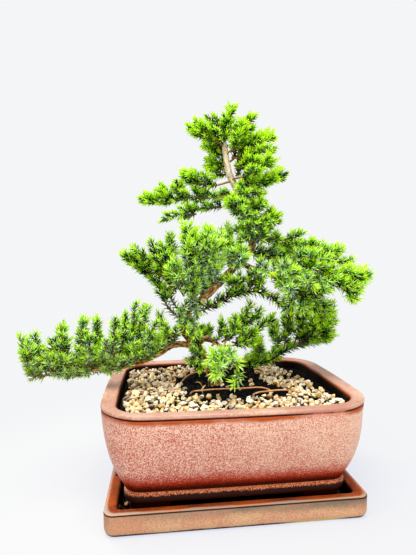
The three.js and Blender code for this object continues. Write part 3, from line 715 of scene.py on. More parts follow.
def potGlazeMaterial(marks):
    glaze = material("pot_glaze", **{"Roughness": 0.34, "Specular IOR Level": 0.12})
    c = potGlaze
    along = glaze.attribute("along")
    grain = glaze.speckle(0.85, 2.0, 0.6)
    coarse = glaze.speckle(2.0, 2.0, 0.5)
    cloud = glaze.speckle(26, 3.0, 0.55)
    drift = glaze.speckle(60, 1.0, 0.5)
    x = glaze.split("XYZ", glaze.place())[0]
    above = along - marks["skirtTop"]
    specks = (grain * 0.85 + coarse * 0.15 + (cloud - 0.5) * 0.1 + above * 0.001 - 0.03).rise(0.41, 0.61)
    wall = glaze.mix(specks, c["ground"], c["speck"])
    # painted light: the wall grows paler towards the right side, as if lit more from there
    litRight = ((x * 5 + 0.2) + (cloud - 0.5) * 0.6).clamp()
    wall = glaze.mix(litRight * 0.45, wall, c["warmPatchAndLitSide"])
    blurred = (grain - 0.5) * 16 + (coarse - 0.5) * 6 + (drift - 0.5) * 8
    rust = glaze.mix(grain.rise(0.46, 0.66) * 0.75, c["rust"], c["rustSpeck"])
    wall = glaze.mix((above + blurred).rise(25, 9), wall, rust)
    wall = glaze.mix((above + blurred * 0.4).rise(13, 3), wall, c["burnt"])
    ragged = (grain - 0.5) * 3.0 + (coarse - 0.5) * 2.0
    ribbon = glaze.mix(grain.rise(0.38, 0.58), c["orange"], c["skirt"])
    # below the ribbon the skirt and feet turn dark: unglazed wet clay, and painted shade under the pot
    ribbon = glaze.mix((above + ragged).rise(-0.9, -2.2), ribbon, c["footClayAndShade"])
    wall = glaze.mix((above + ragged * 0.4).rise(1.7, 0.9), wall, ribbon)
    underRim = along - marks["groove"] + (cloud - 0.5) * 6 + (grain - 0.5) * 3
    wall = glaze.mix(underRim.rise(-4.0, -0.8) * (cloud * 1.7 + drift - 0.45).clamp(), wall, c["underRim"])
    # a dark line in the groove under the lip: partly the glaze's own line, partly painted shade
    groove = along.band(marks["groove"] - 0.05, marks["lip"] - 1.0, 0.2)
    wall = glaze.mix(groove * (cloud * 1.8 + drift * 1.2 - 0.9).rise(0.1, 0.5), wall, c["darkAndPaintedShade"])
    rim = glaze.mix((cloud * 0.6 + grain * 0.4).rise(0.38, 0.62), c["rim"], c["rimPale"])
    rim = glaze.mix((coarse * 0.5 + drift * 0.5).rise(0.52, 0.6) * 0.4, rim, c["warmPatchAndLitSide"])
    colour = glaze.mix(along.rise(marks["lip"] - 0.2, marks["lip"] + 0.5), wall, rim)
    inner = along - marks["rimIn"]
    fired = (inner + (cloud - 0.5) * 7 + (drift - 0.5) * 6).rise(-2.6, 0.6)
    colour = glaze.mix(fired * (x * 4 + 0.75).clamp() * 0.6, colour, c["underRim"])
    colour = glaze.mix((inner + (cloud - 0.5) * 1.6).rise(-0.2, 0.6), colour, c["edgeBrown"])
    # painted shade: the inner wall below the rim's edge turns near black
    colour = glaze.mix(inner.rise(0.6, 2.2), colour, c["darkAndPaintedShade"])
    rough = 0.30 + specks * 0.16
    height = grain * 0.5 + coarse * 0.5
    return glaze.finish(**{"Base Color": colour, "Roughness": rough, "Normal": glaze.bump(height, 0.12, 0.5)})


def makeTray():
    profile = softened(tray["profile"])
    rings = [trayRing(*p) for p in profile]
    piece = pullRings("glazed_tray", rings)
    lengths = lengthsAlong(profile)
    markAlong(piece, rings, lengths)
    smooth(piece, 35)
    fit(piece, "tray_glaze", ["tray"], trayGlazeMaterial(marksAlong(profile, lengths, tray["marks"])))


def trayGlazeMaterial(marks):
    glaze = material("tray_glaze", **{"Roughness": 0.36, "Specular IOR Level": 0.2})
    c = trayGlaze
    along = glaze.attribute("along")
    grain = glaze.speckle(0.8, 3.0, 0.6)
    cloud = glaze.speckle(22, 3.0, 0.6)
    wash = glaze.speckle(15, 3.0, 0.6, (0.5, 1, 1.2))
    x, y, z = glaze.split("XYZ", glaze.place())
    wall = glaze.mix((cloud + (grain - 0.5) * 0.4).rise(0.35, 0.65), c["wallPink"], c["wall"])
    wall = glaze.mix(grain.rise(0.56, 0.36) * 0.42, wall, c["grain"])
    below = marks["shoulder"] - along
    grey = (below + (wash - 0.5) * 12 + (grain - 0.5) * 3).rise(9, 1.5)
    wall = glaze.mix(grey * (cloud + wash + x * 3 - 0.35).clamp(), wall, c["grey"])
    line = below.band(-0.35, 0.7, 0.3) * (cloud * 0.7 + wash * 0.3).rise(0.2, 0.4)
    wall = glaze.mix(line, wall, c["line"])
    corner = x.rise(-0.0925, -0.099) * (wash + cloud).rise(0.8, 1.15)
    wall = glaze.mix(corner * 0.6, wall, c["grey"])
    top = glaze.mix(cloud.rise(0.4, 0.65), c["edge"], c["wallPink"])
    inward = along - marks["edge"]
    rust = (inward + (cloud - 0.5) * 5 + (grain - 0.5) * 2).rise(0.3, 2.6)
    slope = glaze.mix((grain * 0.6 + cloud * 0.4).rise(0.4, 0.58), c["slopeDark"], c["slope"])
    top = glaze.mix(rust, top, slope)
    colour = glaze.mix(inward.rise(-0.7, -0.1), wall, top)
    # the well turns near black and glossy: wet, and painted shade under the pot
    dark = (along - marks["inner"] + (grain - 0.5) * 3).rise(-0.6, 2.2)
    colour = glaze.mix(dark, colour, c["wetWellAndShade"])
    low = along - marks["foot"]
    foot = (low + (cloud - 0.5) * 2 + (grain - 0.5)).rise(2.4, 1.2)
    colour = glaze.mix(foot, colour, c["foot"])
    # a pale crust of lime near the right end of the front's foot
    crust = x.band(0.035, 0.075, 0.008) * y.rise(-0.06, -0.068)
    crust = crust * (low + (wash - 0.5) * 4 + (grain - 0.5) * 4).rise(2.6, 1.2)
    colour = glaze.mix(crust * 0.8, colour, c["residue"])
    rough = 0.46 - dark * 0.26 + grain * 0.1
    return glaze.finish(**{"Base Color": colour, "Roughness": rough, "Normal": glaze.bump(grain, 0.12, 0.4)})


def drainMeshMaterial():
    plastic = material("drain_mesh_plastic", Roughness=0.55)
    lighterTone = plastic.speckle(3, 3.0, 0.6)
    colour = plastic.ramp(lighterTone, (0.3, "2b2d2c"), (0.7, "454846"))
    return plastic.finish(**{"Base Color": colour, "Normal": plastic.bump(lighterTone, 0.05, 0.4)})


makePot()
makeTray()
meshPlastic = drainMeshMaterial()
for side in ("left", "right"):
    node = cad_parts["drain_mesh_" + side]
    node.data.materials.clear()
    node.data.materials.append(meshPlastic)
print("pot and tray ready")


# Soil, grit and wires

soil = {
    "levels": ((28.6, 1.2), (38, 0.4), (56, 0.3), (79, 0.4), (80, 0.6)),  # height, gap to the wall
    "top": 80,
    "heap": 1.4,  # how much higher its middle is than its edge
    "heapReach": (90, 70),
    "rough": 0.9,
    "topRings": 34,
    "crumbs": 1500,
    "crumbSize": (0.7, 2.0),
    "crumbField": (86, 66),
    "crumbsHidden": 0.75,  # share of the crumbs left out where grit lies
}
grit = {
    "shapes": 11,
    "cuts": 9,  # flat faces on a stone
    "cutDepth": 0.52,  # the least, as a share of its radius
    "cutRange": 0.28,
    "uneven": 0.16,
    "field": (180, 140),
    "spacing": 4.8,
    "jitter": 0.33,  # of the spacing
    "stray": 2.0,  # how far stones cross the edge of a bare place
    "layers": ((81.3, 0.0), (83.2, 0.6)),  # height of the middles, and how much further apart they lie
    "kept": (0.92, 0.68),  # share of each layer's places that hold a stone
    "keptInGaps": 0.35,  # of that, in the layers' gaps
    "keptOnSoil": 0.02,
    "gaps": -0.34,  # where the noise is under this
    "size": (1.4, 3.1),  # a stone's radius
    "long": (0.85, 1.25),  # its length and its thickness as shares of its width
    "flat": (0.55, 0.9),
    "unlevel": 0.45,  # how far one lies above or below the layer's middle
    "edge": 2.2,  # how far the outermost middles stay from the wall
    "heap": 2.0,  # how much higher they lie along the left and back walls
    "heapFrom": (-62, 25),  # X and Y at which they start to rise
    "heapOver": (18, 35),  # the stretches over which they do
    "palette": ((0.0, "1c1611"), (0.08, "5e5040"), (0.14, "c8b491"), (0.26, "eec574"), (0.45, "fbe6ae"),
                (0.65, "fff8e6"), (0.80, "fdeecb"), (0.89, "eeac34"), (1.0, "a86414")),
    # dark golden brown: random dark specks, and painted shade on the stones' sides and undersides
    "darkAndPaintedShade": "a8641a",
    # near white: painted light on the stones' upper faces
    "lighterTone": "fdf6e4",
}
# left bare of grit: round the trunk, and along the right wall
barePatch = ((-42, 30), (-38, 6), (-33, -16), (-18, -34), (4, -35), (22, -27), (40, -29), (55, -18), (42, 2),
             (36, 22), (37, 44), (43, 75), (19, 75), (2, 54), (-20, 50), (-35, 44))
bareMargin = ((95, -34), (81, -30), (76, 10), (66, 44), (58, 75), (95, 75))
wireRadius = 0.7
anchorWires = {
    "front": ((-33, -10, 76), (-31, -11, 82), (-19, -12, 84), (13, -13, 84.6), (31, -13, 84.2), (37, -18, 82),
              (38, -20, 76)),
    "right": ((18, -24, 76), (20, -23, 82), (34, -23, 84.5), (50, -23, 84.5), (57, -22, 82), (59, -22, 76)),
    "back_left": ((-40, 12, 76), (-39, 14, 82), (-28, 39, 84.2), (-16, 50, 83.6), (-8, 54, 81), (-5, 55, 76)),
    "left": ((-47, 40, 76), (-47, 37, 82), (-47, 16, 84), (-46, 8, 82), (-46, 5, 76)),
}
fallenGrain = {
    "place": (-83.4, -44),
    "radius": 2.3,
    "form": (1.1, 1.0, 0.6),
    "turn": 0.7,
    "shade": 0.96,
}
# dry scales of bark on the soil
dryScale = {
    "halfWidth": 1.3,
    "bow": 1.6,
    "curl": 0.4,
    "thickness": 0.25,
    # where, how long, which way round and how far from upright
    "all": (
        ((-22, -18, 82.5), 8, 20, 20),
        ((-12, -35, 83), 9, 80, 80),
        ((-20, 4, 82), 8, 150, 65),
        ((30, -38, 84.5), 6, 60, 70),
    ),
}
trayCrumbs = ((-92, -14, 16.6), (-91, -12, 16), (-93.5, -15.5, 16.8), (-90, -14, 15.2))


def insideOutline(x, y, outline):
    crossings = 0
    for (ax, ay), (bx, by) in zip(outline, outline[1:] + outline[:1]):
        if (ay > y) != (by > y) and x < ax + (y - ay) / (by - ay) * (bx - ax):
            crossings += 1
    return crossings % 2 == 1


def isBare(x, y):
    return insideOutline(x, y, barePatch) or insideOutline(x, y, bareMargin)


def hollowWall(height):
    # how far out the wall of the pot's hollow is
    heights, outs, softness = zip(*reversed(pot["inside"]))
    return float(np.interp(height, heights, outs))


def hollowLoop(height, gap):
    # the outline of the pot's hollow at a height, a gap away from its wall
    return hollowRing(height, hollowWall(height) - gap)


def soilHeight(x, y):
    reachX, reachY = soil["heapReach"]
    reach = (x / reachX) ** 2 + (y / reachY) ** 2
    ripple = noise.fractal(Vector((x * 0.11, y * 0.11, 3.7)), 0.7, 2.1, 4)
    ripple *= soil["rough"] * min(max(1.25 - reach, 0), 1)
    return soil["top"] + soil["heap"] * max(1 - reach, 0) + ripple


def withinHollow(x, y, margin):
    # over the soil, at least a margin away from the pot's wall
    radius = pot["holeRadius"]
    out = soilWall - margin - radius
    dx, dy = max(abs(x) - pot["halfLength"] - out, 0), max(abs(y) - pot["halfDepth"] - out, 0)
    return math.hypot(dx, dy) < radius


def makeSoil():
    rings = [hollowLoop(height, gap) for height, gap in soil["levels"]]
    edge = np.array(rings[-1])
    for k in range(1, soil["topRings"]):
        share = (1 - k / soil["topRings"]) ** 0.9
        rings.append([(x * share, y * share, soilHeight(x * share, y * share)) for x, y, z in edge])
    piece = pullRings("potting_soil", rings)
    smooth(piece, 50)
    return piece


def modelCrumb():
    bpy.ops.mesh.primitive_ico_sphere_add(subdivisions=1, radius=1)
    crumb = bpy.context.object
    for number, vertex in enumerate(crumb.data.vertices):
        vertex.co *= 0.75 + 0.5 * fraction(number + 3)
    return shapeOf(crumb)


def randomTurn(rng):
    axis = unit(rng.normal(size=3))
    return np.array(Matrix.Rotation(rng.uniform(0, 2 * math.pi), 3, Vector(axis)))


def makeCrumbs():
    rng = np.random.default_rng(11)
    crumb = modelCrumb()
    copies = []
    farX, farY = soil["crumbField"]
    while len(copies) < soil["crumbs"]:
        x, y = rng.uniform(-farX, farX), rng.uniform(-farY, farY)
        if not withinHollow(x, y, 1.5) or (not isBare(x, y) and rng.random() < soil["crumbsHidden"]):
            continue
        size = rng.uniform(*soil["crumbSize"]) * rng.uniform(0.6, 1.0)
        turn = randomTurn(rng) @ np.diag(size * rng.uniform(0.6, 1.1, 3)) * mm
        copies.append((0, turn, np.array([x, y, soilHeight(x, y) + size * 0.25]) * mm, rng.random()))
    for x, y, z in trayCrumbs:
        turn = randomTurn(rng) @ np.diag(rng.uniform(0.7, 1.3, 3)) * mm
        copies.append((0, turn, np.array([x, y, z]) * mm, 0.5))
    return pile("soil_crumbs", [crumb], copies)


def soilMaterial():
    earth = material("wet_soil", **{"Roughness": 0.92, "Specular IOR Level": 0.15})
    grain = earth.speckle(1.6, 4.0, 0.7)
    lump = earth.speckle(7, 3.0, 0.6)
    stops = ((0.3, "020202"), (0.6, "080605"), (0.75, "1a140e"), (0.9, "45382a"))
    colour = earth.ramp(grain * 0.7 + lump * 0.3, *stops)
    return earth.finish(**{"Base Color": colour, "Normal": earth.bump(grain + lump, 0.6, 0.9)})


def modelStone(number):
    # a rough ball with flat faces cut on it
    bpy.ops.object.select_all(action="DESELECT")
    bpy.ops.mesh.primitive_ico_sphere_add(subdivisions=2, radius=1)
    stone = bpy.context.object
    for i, vertex in enumerate(stone.data.vertices):
        vertex.co *= 1 + grit["uneven"] * (fraction(i + 31 * number) - 0.5)
    bpy.ops.object.mode_set(mode="EDIT")
    for cut in range(grit["cuts"]):
        seed = 17 * number + cut
        bpy.ops.mesh.select_all(action="SELECT")
        rise = 2 * fraction(seed) - 1
        angle = 2 * math.pi * fraction(seed + 0.5)
        flat = math.sqrt(1 - rise ** 2)
        direction = Vector((flat * math.cos(angle), flat * math.sin(angle), rise))
        depth = grit["cutDepth"] + grit["cutRange"] * fraction(seed + 0.25)
        bpy.ops.mesh.bisect(plane_co=direction * depth, plane_no=direction, use_fill=True, clear_outer=True)
    bpy.ops.mesh.select_all(action="SELECT")
    bpy.ops.mesh.dissolve_degenerate(threshold=0.08)
    bpy.ops.mesh.remove_doubles(threshold=0.16)
    bpy.ops.mesh.normals_make_consistent(inside=False)
    bpy.ops.object.mode_set(mode="OBJECT")
    return shapeOf(stone)


def gritPlaces(rng, spacing, kept):
    # the places of one layer of stones, and whether each is on bare soil
    length, depth = grit["field"]
    jitter = grit["jitter"]
    for row in range(int(depth / spacing) + 1):
        for column in range(int(length / spacing) + 1):
            x = (column + 0.5 * (row % 2) + rng.uniform(-jitter, jitter)) * spacing - length / 2
            y = (row + rng.uniform(-jitter, jitter)) * spacing - depth / 2
            strayX, strayY = rng.normal(0, grit["stray"], 2)
            bare = isBare(x + strayX, y + strayY)
            chance = rng.random()
            if not withinHollow(x, y, grit["edge"]) or (bare and chance > grit["keptOnSoil"]):
                continue
            gap = noise.noise(Vector((x * 0.085, y * 0.085, 1.3))) < grit["gaps"]
            if chance <= kept * (grit["keptInGaps"] if gap else 1):
                yield x, y, bare


def heaped(x, y):
    # from 0 to 1 towards the left and back walls
    left, back = grit["heapFrom"]
    leftOver, backOver = grit["heapOver"]
    return min(max((y - back) / backOver, (left - x) / leftOver, 0), 1)


def makeGrit():
    rng = np.random.default_rng(5)
    shapes = [modelStone(n) for n in range(grit["shapes"])]
    copies = []
    for (height, extra), kept in zip(grit["layers"], grit["kept"]):
        for x, y, bare in gritPlaces(rng, grit["spacing"] + extra, kept):
            size = rng.uniform(*grit["size"])
            form = size * np.array([rng.uniform(*grit["long"]), 1.0, rng.uniform(*grit["flat"])])
            turn = randomTurn(rng) @ np.diag(form) * mm
            z = soilHeight(x, y) + size * 0.5 if bare else height
            z += rng.uniform(-grit["unlevel"], grit["unlevel"]) + grit["heap"] * heaped(x, y)
            number = int(rng.integers(len(shapes)))
            copies.append((number, turn, np.array([x, y, z]) * mm, rng.random()))
    piece = pile("top_grit", shapes, copies)
    smooth(piece, 18)
    fit(piece, "gravel", ["gravel"], stoneMaterial)
    return shapes


def gritMaterial():
    stone = material("top_grit", Roughness=0.6)
    shade = stone.attribute("shade")
    grain = stone.speckle(1.1, 3.0, 0.65)
    patch = stone.speckle(3.2, 2.0, 0.5)
    colour = stone.ramp(shade * 0.9 + (patch - 0.5) * 0.3 + 0.05, *grit["palette"])
    colour = stone.mix(grain.rise(0.52, 0.34) * 0.4, colour, grit["darkAndPaintedShade"])
    up = stone.split("XYZ", stone.node("NewGeometry", {}, {}, "Normal"))[2]
    # painted shade: faces that turn sideways or down grow darker
    colour = stone.mix(up.rise(0.3, -0.3) * 0.45, colour, grit["darkAndPaintedShade"])
    # painted light: faces that turn upwards grow paler in speckles
    colour = stone.mix(up.rise(0.2, 0.9) * grain.rise(0.35, 0.6) * 0.4, colour, grit["lighterTone"])
    return stone.finish(**{"Base Color": colour, "Normal": stone.bump(grain, 0.15, 0.5)})


def makeFallenGrain(shape):
    # it lies on the tray, where the solid pebble does
    x, y = fallenGrain["place"]
    turn = np.array(Matrix.Rotation(fallenGrain["turn"], 3, "Z")) @ np.diag(fallenGrain["form"])
    turn = turn * fallenGrain["radius"] * mm
    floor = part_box("tray_pebble")[0].z
    lowest = (shape["points"] @ turn.T)[:, 2].min()
    spot = np.array([x * mm, y * mm, floor - lowest])
    piece = pile("fallen_grain", [shape], [(0, turn, spot, fallenGrain["shade"])])
    apply(piece, "BEVEL", width=0.25 * mm, segments=2)
    smooth(piece, 45)
    fit(piece, "gravel", ["tray_pebble"], stoneMaterial)


def makeDryScales():
    # thin curled strips, widest in the middle and pointed
    pieces = []
    for place, length, turn, lean in dryScale["all"]:
        turn, lean = math.radians(turn), math.radians(lean)
        way = np.array([math.sin(lean) * math.cos(turn), math.sin(lean) * math.sin(turn), math.cos(lean)])
        across = np.array([-math.sin(turn), math.cos(turn), 0])
        flat = np.cross(way, across)
        rings = []
        for t in np.linspace(0.02, 0.98, 9):
            swell = math.sin(math.pi * t)
            width = dryScale["halfWidth"] * swell ** 0.7
            middle = np.array(place) + way * length * t + flat * dryScale["bow"] * swell
            ring = []
            for angle in np.arange(10) * math.pi / 5:
                curl = width * dryScale["curl"] * math.cos(angle) ** 2
                lift = dryScale["thickness"] * math.sin(angle) + curl
                ring.append(middle + across * width * math.cos(angle) + flat * lift)
            rings.append(ring)
        pieces.append(pullRings("dry_scale", rings))
    piece = join("dry_scales", pieces)
    smooth(piece, 50)
    husk = material("dry_scale", Roughness=0.7)
    fibre = husk.speckle(0.7, 3.0, 0.6, (1, 1, 0.3))
    straw = husk.finish(**{"Base Color": husk.ramp(fibre, (0.35, "a8752f"), (0.6, "e3bd78"))})
    fit(piece, None, [], straw)


def makeWire(name, points):
    line = curveThrough(points, 1.2)
    piece = pullRings("anchor_wire_" + name + "_bent", tubeRings(line, [wireRadius] * len(line), 10))
    smooth(piece, 60)
    fit(piece, "wire", ["anchor_wire_" + name], wireMaterial)


def makeWireMaterial():
    wire = material("copper_wire", Metallic=0.2, Roughness=0.4)
    lighterTone = wire.speckle(5, 3.0, 0.6)
    fine = wire.speckle(0.8, 2.0, 0.5)
    colour = wire.ramp(lighterTone * 0.7 + fine * 0.3, (0.3, "a8683c"), (0.5, "d99a66"), (0.7, "f0c298"))
    return wire.finish(**{"Base Color": colour, "Normal": wire.bump(fine, 0.04, 0.4)})


soilWall = hollowWall(soil["top"])
earthMaterial = soilMaterial()
fit(makeSoil(), "soil", ["soil"], earthMaterial)
fit(makeCrumbs(), "soil", [], earthMaterial)
stoneMaterial = gritMaterial()
stoneShapes = makeGrit()
makeFallenGrain(stoneShapes[2])
makeDryScales()
wireMaterial = makeWireMaterial()
for wireName, wirePoints in anchorWires.items():
    makeWire(wireName, wirePoints)
print("soil, grit and wires ready")


# Trunk and limbs

wood = {
    "trunk": {
        "line": ((-7, 11, 58), (-8, 10, 82), (-13, 9, 99), (-24, 6, 117), (-37, 4, 135), (-34, 1, 149),
                 (-19, -7, 163), (5, -6, 186), (23, 3, 204), (26, 6, 222), (15, 4, 249), (4, 2, 270),
                 (0, 4, 297)),
        "radius": (6.5, 6.2, 4.4, 3.9, 3.8, 3.6, 3.5, 3.5, 3.4, 3.2, 3.2, 3.0, 2.2),
    },
    "lowLeft": {
        "line": ((-24, 6, 118), (-45, 0, 121), (-62, -5, 113), (-81, -8, 107), (-110, -10, 104),
                 (-143, -12, 103)),
        "radius": (2.9, 2.7, 2.5, 2.2, 1.8, 1.2),
    },
    "hook": {
        "line": ((-27, 5, 123), (-15, -8, 126), (-5, -16, 120), (-4, -24, 114)),
        "radius": (2.5, 2.3, 1.8, 1.3),
    },
    "right": {
        "line": ((13, -2, 192), (30, -8, 184), (54, -12, 176)),
        "radius": (2.6, 2.3, 1.5),
    },
}
knobs = (
    {"from": (-33, 1, 147), "to": (-32, -5.5, 146), "radius": 2.2},
    {"from": (-19, -7, 162), "to": (-21, -13, 160), "radius": 2.4},
    {"from": (-25, 6, 119), "to": (-15, 3, 127), "radius": 1.8},
)
bark = {
    "voxel": 0.55,
    "step": 1.4,
    "sides": 16,
    "ridge": 0.7,  # height of the bark's ridges
    "ridgeRange": (-0.8, 0.9),  # the deepest and highest, as shares of it
    "limbApart": 500,  # how far apart the limbs lie in the noise, so that no two are alike
    "cutReach": 1.35,  # how far round a knob's end it is pale, as a share of its radius
    "shrink": 0.25,  # drawn in first, so that the ridges stay within the limbs' thickness
    "paleFrom": 212,  # height from which the bark grows paler, and over how much
    "paleOver": 35,
    "dark": "301a0e",
    "brown": "8a561c",
    "tan": "d9a050",
    "pale": "f9ead2",
    "cut": "ecd2a4",
}


def makeWood():
    tubes, samples = [], []
    for number, limb in enumerate(wood.values()):
        line = curveThrough(limb["line"], bark["step"])
        share = np.linspace(0, len(limb["radius"]) - 1, len(line))
        radii = np.interp(share, np.arange(len(limb["radius"])), limb["radius"]) - bark["shrink"]
        tubes.append(pullRings("limb", tubeRings(line, radii, bark["sides"])))
        tangents, first, second = framesAlong(line)
        for i, point in enumerate(line):
            samples.append((point, first[i], second[i], i * bark["step"] + bark["limbApart"] * number))
    for knob in knobs:
        line = curveThrough((knob["from"], knob["to"]), 1.0)
        tubes.append(pullRings("limb", tubeRings(line, [knob["radius"]] * len(line), bark["sides"])))
    piece = join("trunk_wood", tubes)
    piece.data.remesh_voxel_size = bark["voxel"] * mm
    bpy.ops.object.voxel_remesh()
    apply(piece, "SMOOTH", factor=0.5, iterations=3)
    tree = KDTree(len(samples))
    for i, sample in enumerate(samples):
        tree.insert(Vector(sample[0]), i)
    tree.balance()
    places = pointsOf(piece) / mm
    normals = np.zeros(len(places) * 3)
    piece.data.vertices.foreach_get("normal", normals)
    normals = normals.reshape(-1, 3)
    ridges = np.array([ridgeAt(place, *samples[tree.find(Vector(place))[1]]) for place in places])
    heights = np.clip(ridges, *bark["ridgeRange"]) * bark["ridge"]
    setPoints(piece, (places + normals * heights[:, None]) * mm)
    markPoints(piece, "ridge", ridges)
    markPoints(piece, "pale", np.clip((places[:, 2] - bark["paleFrom"]) / bark["paleOver"], 0, 1))
    ends = [np.linalg.norm(places - np.array(knob["to"]), axis=1) / knob["radius"] for knob in knobs]
    markPoints(piece, "cut", np.clip((bark["cutReach"] - np.min(ends, axis=0)) * 3, 0, 1))
    smooth(piece, 60)
    fit(piece, "bark", ["trunk_and_limbs"], barkMaterial())


def ridgeAt(place, point, first, second, along):
    # the bark's height there: long ridges round the limb, with flakes on them
    offset = place - point
    angle = math.atan2(offset @ second, offset @ first)
    x, y = math.cos(angle), math.sin(angle)
    wave = noise.fractal(Vector((x * 1.7, y * 1.7, along * 0.13)), 0.7, 2.2, 4)
    flakes = noise.noise(Vector((x * 3.2, y * 3.2, along * 0.34 + 40)))
    return wave * 0.8 + max(flakes, 0) * 0.9


def barkMaterial():
    made = material("juniper_bark", Roughness=0.8)
    ridge = made.attribute("ridge")
    pale = made.attribute("pale")
    cut = made.attribute("cut")
    patch = made.speckle(7, 3.0, 0.6)
    fibre = made.speckle(0.9, 3.0, 0.6)
    tone = ridge * 0.5 + 0.38 + (patch - 0.5) * 0.9 + (fibre - 0.5) * 0.5 + pale * 0.34
    colour = made.ramp(tone.clamp(), (0.2, bark["dark"]), (0.4, bark["brown"]), (0.6, bark["tan"]),
                       (0.95, bark["pale"]))
    colour = made.mix(pale * patch.rise(0.3, 0.5) * fibre.rise(0.4, 0.55) * 0.85, colour, bark["pale"])
    colour = made.mix(cut * 0.85, colour, bark["cut"])
    return made.finish(**{"Base Color": colour, "Normal": made.bump(fibre + ridge * 0.5, 0.3, 0.7)})


makeWood()
print("trunk ready")


# Foliage

sprays = {
    "apex": ((0, 4, 297), (2, 3, 313), (7, 2, 329)),
    "crown_left": ((0, 4, 293), (-12, -3, 299), (-23, -6, 302), (-33, -8, 303)),
    "crown_left_low": ((1, 3, 287), (-8, 10, 292), (-19, 14, 296)),
    "crown_left_under": ((3, 2, 274), (-6, 12, 276), (-16, 18, 280)),
    "crown_right": ((0, 3, 285), (10, -6, 294), (16, -8, 304), (19, -8, 316)),
    "crown_right_out": ((2, 2, 278), (19, 10, 292), (36, 14, 304), (46, 14, 309)),
    "crown_right_low": ((6, 2, 265), (15, -12, 265), (28, -18, 271), (40, -18, 278)),
    "crown_right_tip": ((9, 2, 260), (25, 4, 261), (44, 6, 266), (57, 6, 272)),
    "shoulder_left": ((5, 2, 263), (-11, -4, 258), (-25, -8, 259), (-39, -10, 265)),
    "long_left_upper": ((13, 4, 252), (-6, 0, 249), (-30, -4, 247), (-58, -6, 243), (-72, -8, 247)),
    "long_left_lower": ((16, 4, 246), (-1, 10, 242), (-24, 16, 240), (-41, 18, 235), (-56, 18, 229)),
    "middle_front": ((21, 5, 237), (8, -14, 236), (0, -24, 242)),
    "middle_right_up": ((23, 5, 231), (26, -8, 236), (31, -14, 245)),
    "middle_right": ((26, 6, 220), (34, -6, 225), (47, -10, 234)),
    "right_upper": ((25, 5, 212), (43, 10, 212), (57, 16, 204), (77, 20, 208), (93, 20, 204)),
    "right_top": ((19, 1, 201), (47, 8, 197), (78, 8, 195), (101, 6, 199), (109, 4, 204)),
    "right_long": ((54, -12, 176), (76, -16, 173), (102, -18, 175), (125, -20, 182)),
    "right_front": ((47, -10, 178), (48, -26, 170), (48, -36, 167)),
    "right_drop": ((52, -11, 177), (68, -6, 162), (82, -4, 151), (99, -4, 148)),
    "right_mid": ((38, -10, 181), (52, -2, 187), (70, -10, 188), (88, -10, 186)),
    "right_arch": ((-34, 2, 147), (-15, -8, 154), (2, -12, 163), (22, -10, 167), (40, -6, 162),
                   (52, -2, 152)),
    "low_right": ((-11, 10, 93), (19, 24, 95), (47, 34, 96), (65, 36, 105), (89, 34, 113), (109, 30, 117)),
    "hook_right": ((-9, -12, 122), (7, -4, 120), (22, 2, 125), (37, 4, 138), (46, 4, 140)),
    "hook_up": ((-5, -17, 120), (-1, -10, 128), (-5, -8, 145)),
    "front_tuft": ((-4, -24, 114), (-10, -38, 109), (-16, -49, 104)),
    "front_drop": ((-6, -16, 121), (3, -24, 113), (3, -42, 103), (-2, -52, 99)),
    "left_middle": ((-37, 3, 141), (-50, 8, 153), (-57, 10, 171), (-72, 8, 187), (-89, 4, 199)),
    "left_inner": ((-36, 2, 146), (-47, 16, 161), (-44, 24, 181), (-46, 26, 202), (-46, 26, 219)),
    "heart_left": ((-21, -6, 162), (-26, -22, 182), (-31, -30, 204), (-37, -32, 224)),
    "heart": ((-11, -7, 170), (-13, -22, 188), (-15, -30, 205), (-20, -30, 221)),
    "heart_back": ((6, -5, 187), (5, 6, 200), (2, 10, 213), (4, 10, 226)),
    "heart_front": ((8, -5, 189), (8, -18, 194), (12, -28, 199)),
    "elbow": ((-28, -2, 154), (-30, -18, 164), (-26, -24, 178)),
    "elbow_low": ((-36, 4, 138), (-39, -12, 148), (-36, -20, 159)),
    "base_left": ((-23, 6, 116), (-27, -8, 111), (-23, -14, 103)),
    "stub_left": ((-44, 0, 121), (-52, 8, 131), (-59, 12, 148)),
    "low_left_a": ((-64, -5, 112), (-68, -14, 127), (-59, -20, 145)),
    "low_left_b": ((-74, -7, 109), (-76, 2, 128), (-71, 6, 155)),
    "low_left_c": ((-85, -8, 106), (-87, -2, 126), (-86, 0, 149)),
    "low_left_d": ((-97, -9, 105), (-95, -18, 126), (-93, -22, 148)),
    "low_left_e": ((-110, -10, 104), (-110, -4, 125), (-109, -2, 146)),
    "low_left_f": ((-122, -11, 104), (-121, -18, 126), (-117, -22, 147)),
    "low_left_g": ((-135, -12, 103), (-140, -8, 122), (-136, -8, 143)),
    "low_left_tip": ((-143, -12, 103), (-153, -13, 110), (-160, -12, 121), (-163, -13, 132)),
    "back_low": ((-33, 5, 129), (-23, 30, 123), (-7, 52, 121)),
    "back_heart": ((-15, -6, 166), (-12, 20, 171), (-15, 44, 183)),
    "back_middle": ((26, 6, 218), (24, 28, 218), (19, 44, 226)),
}
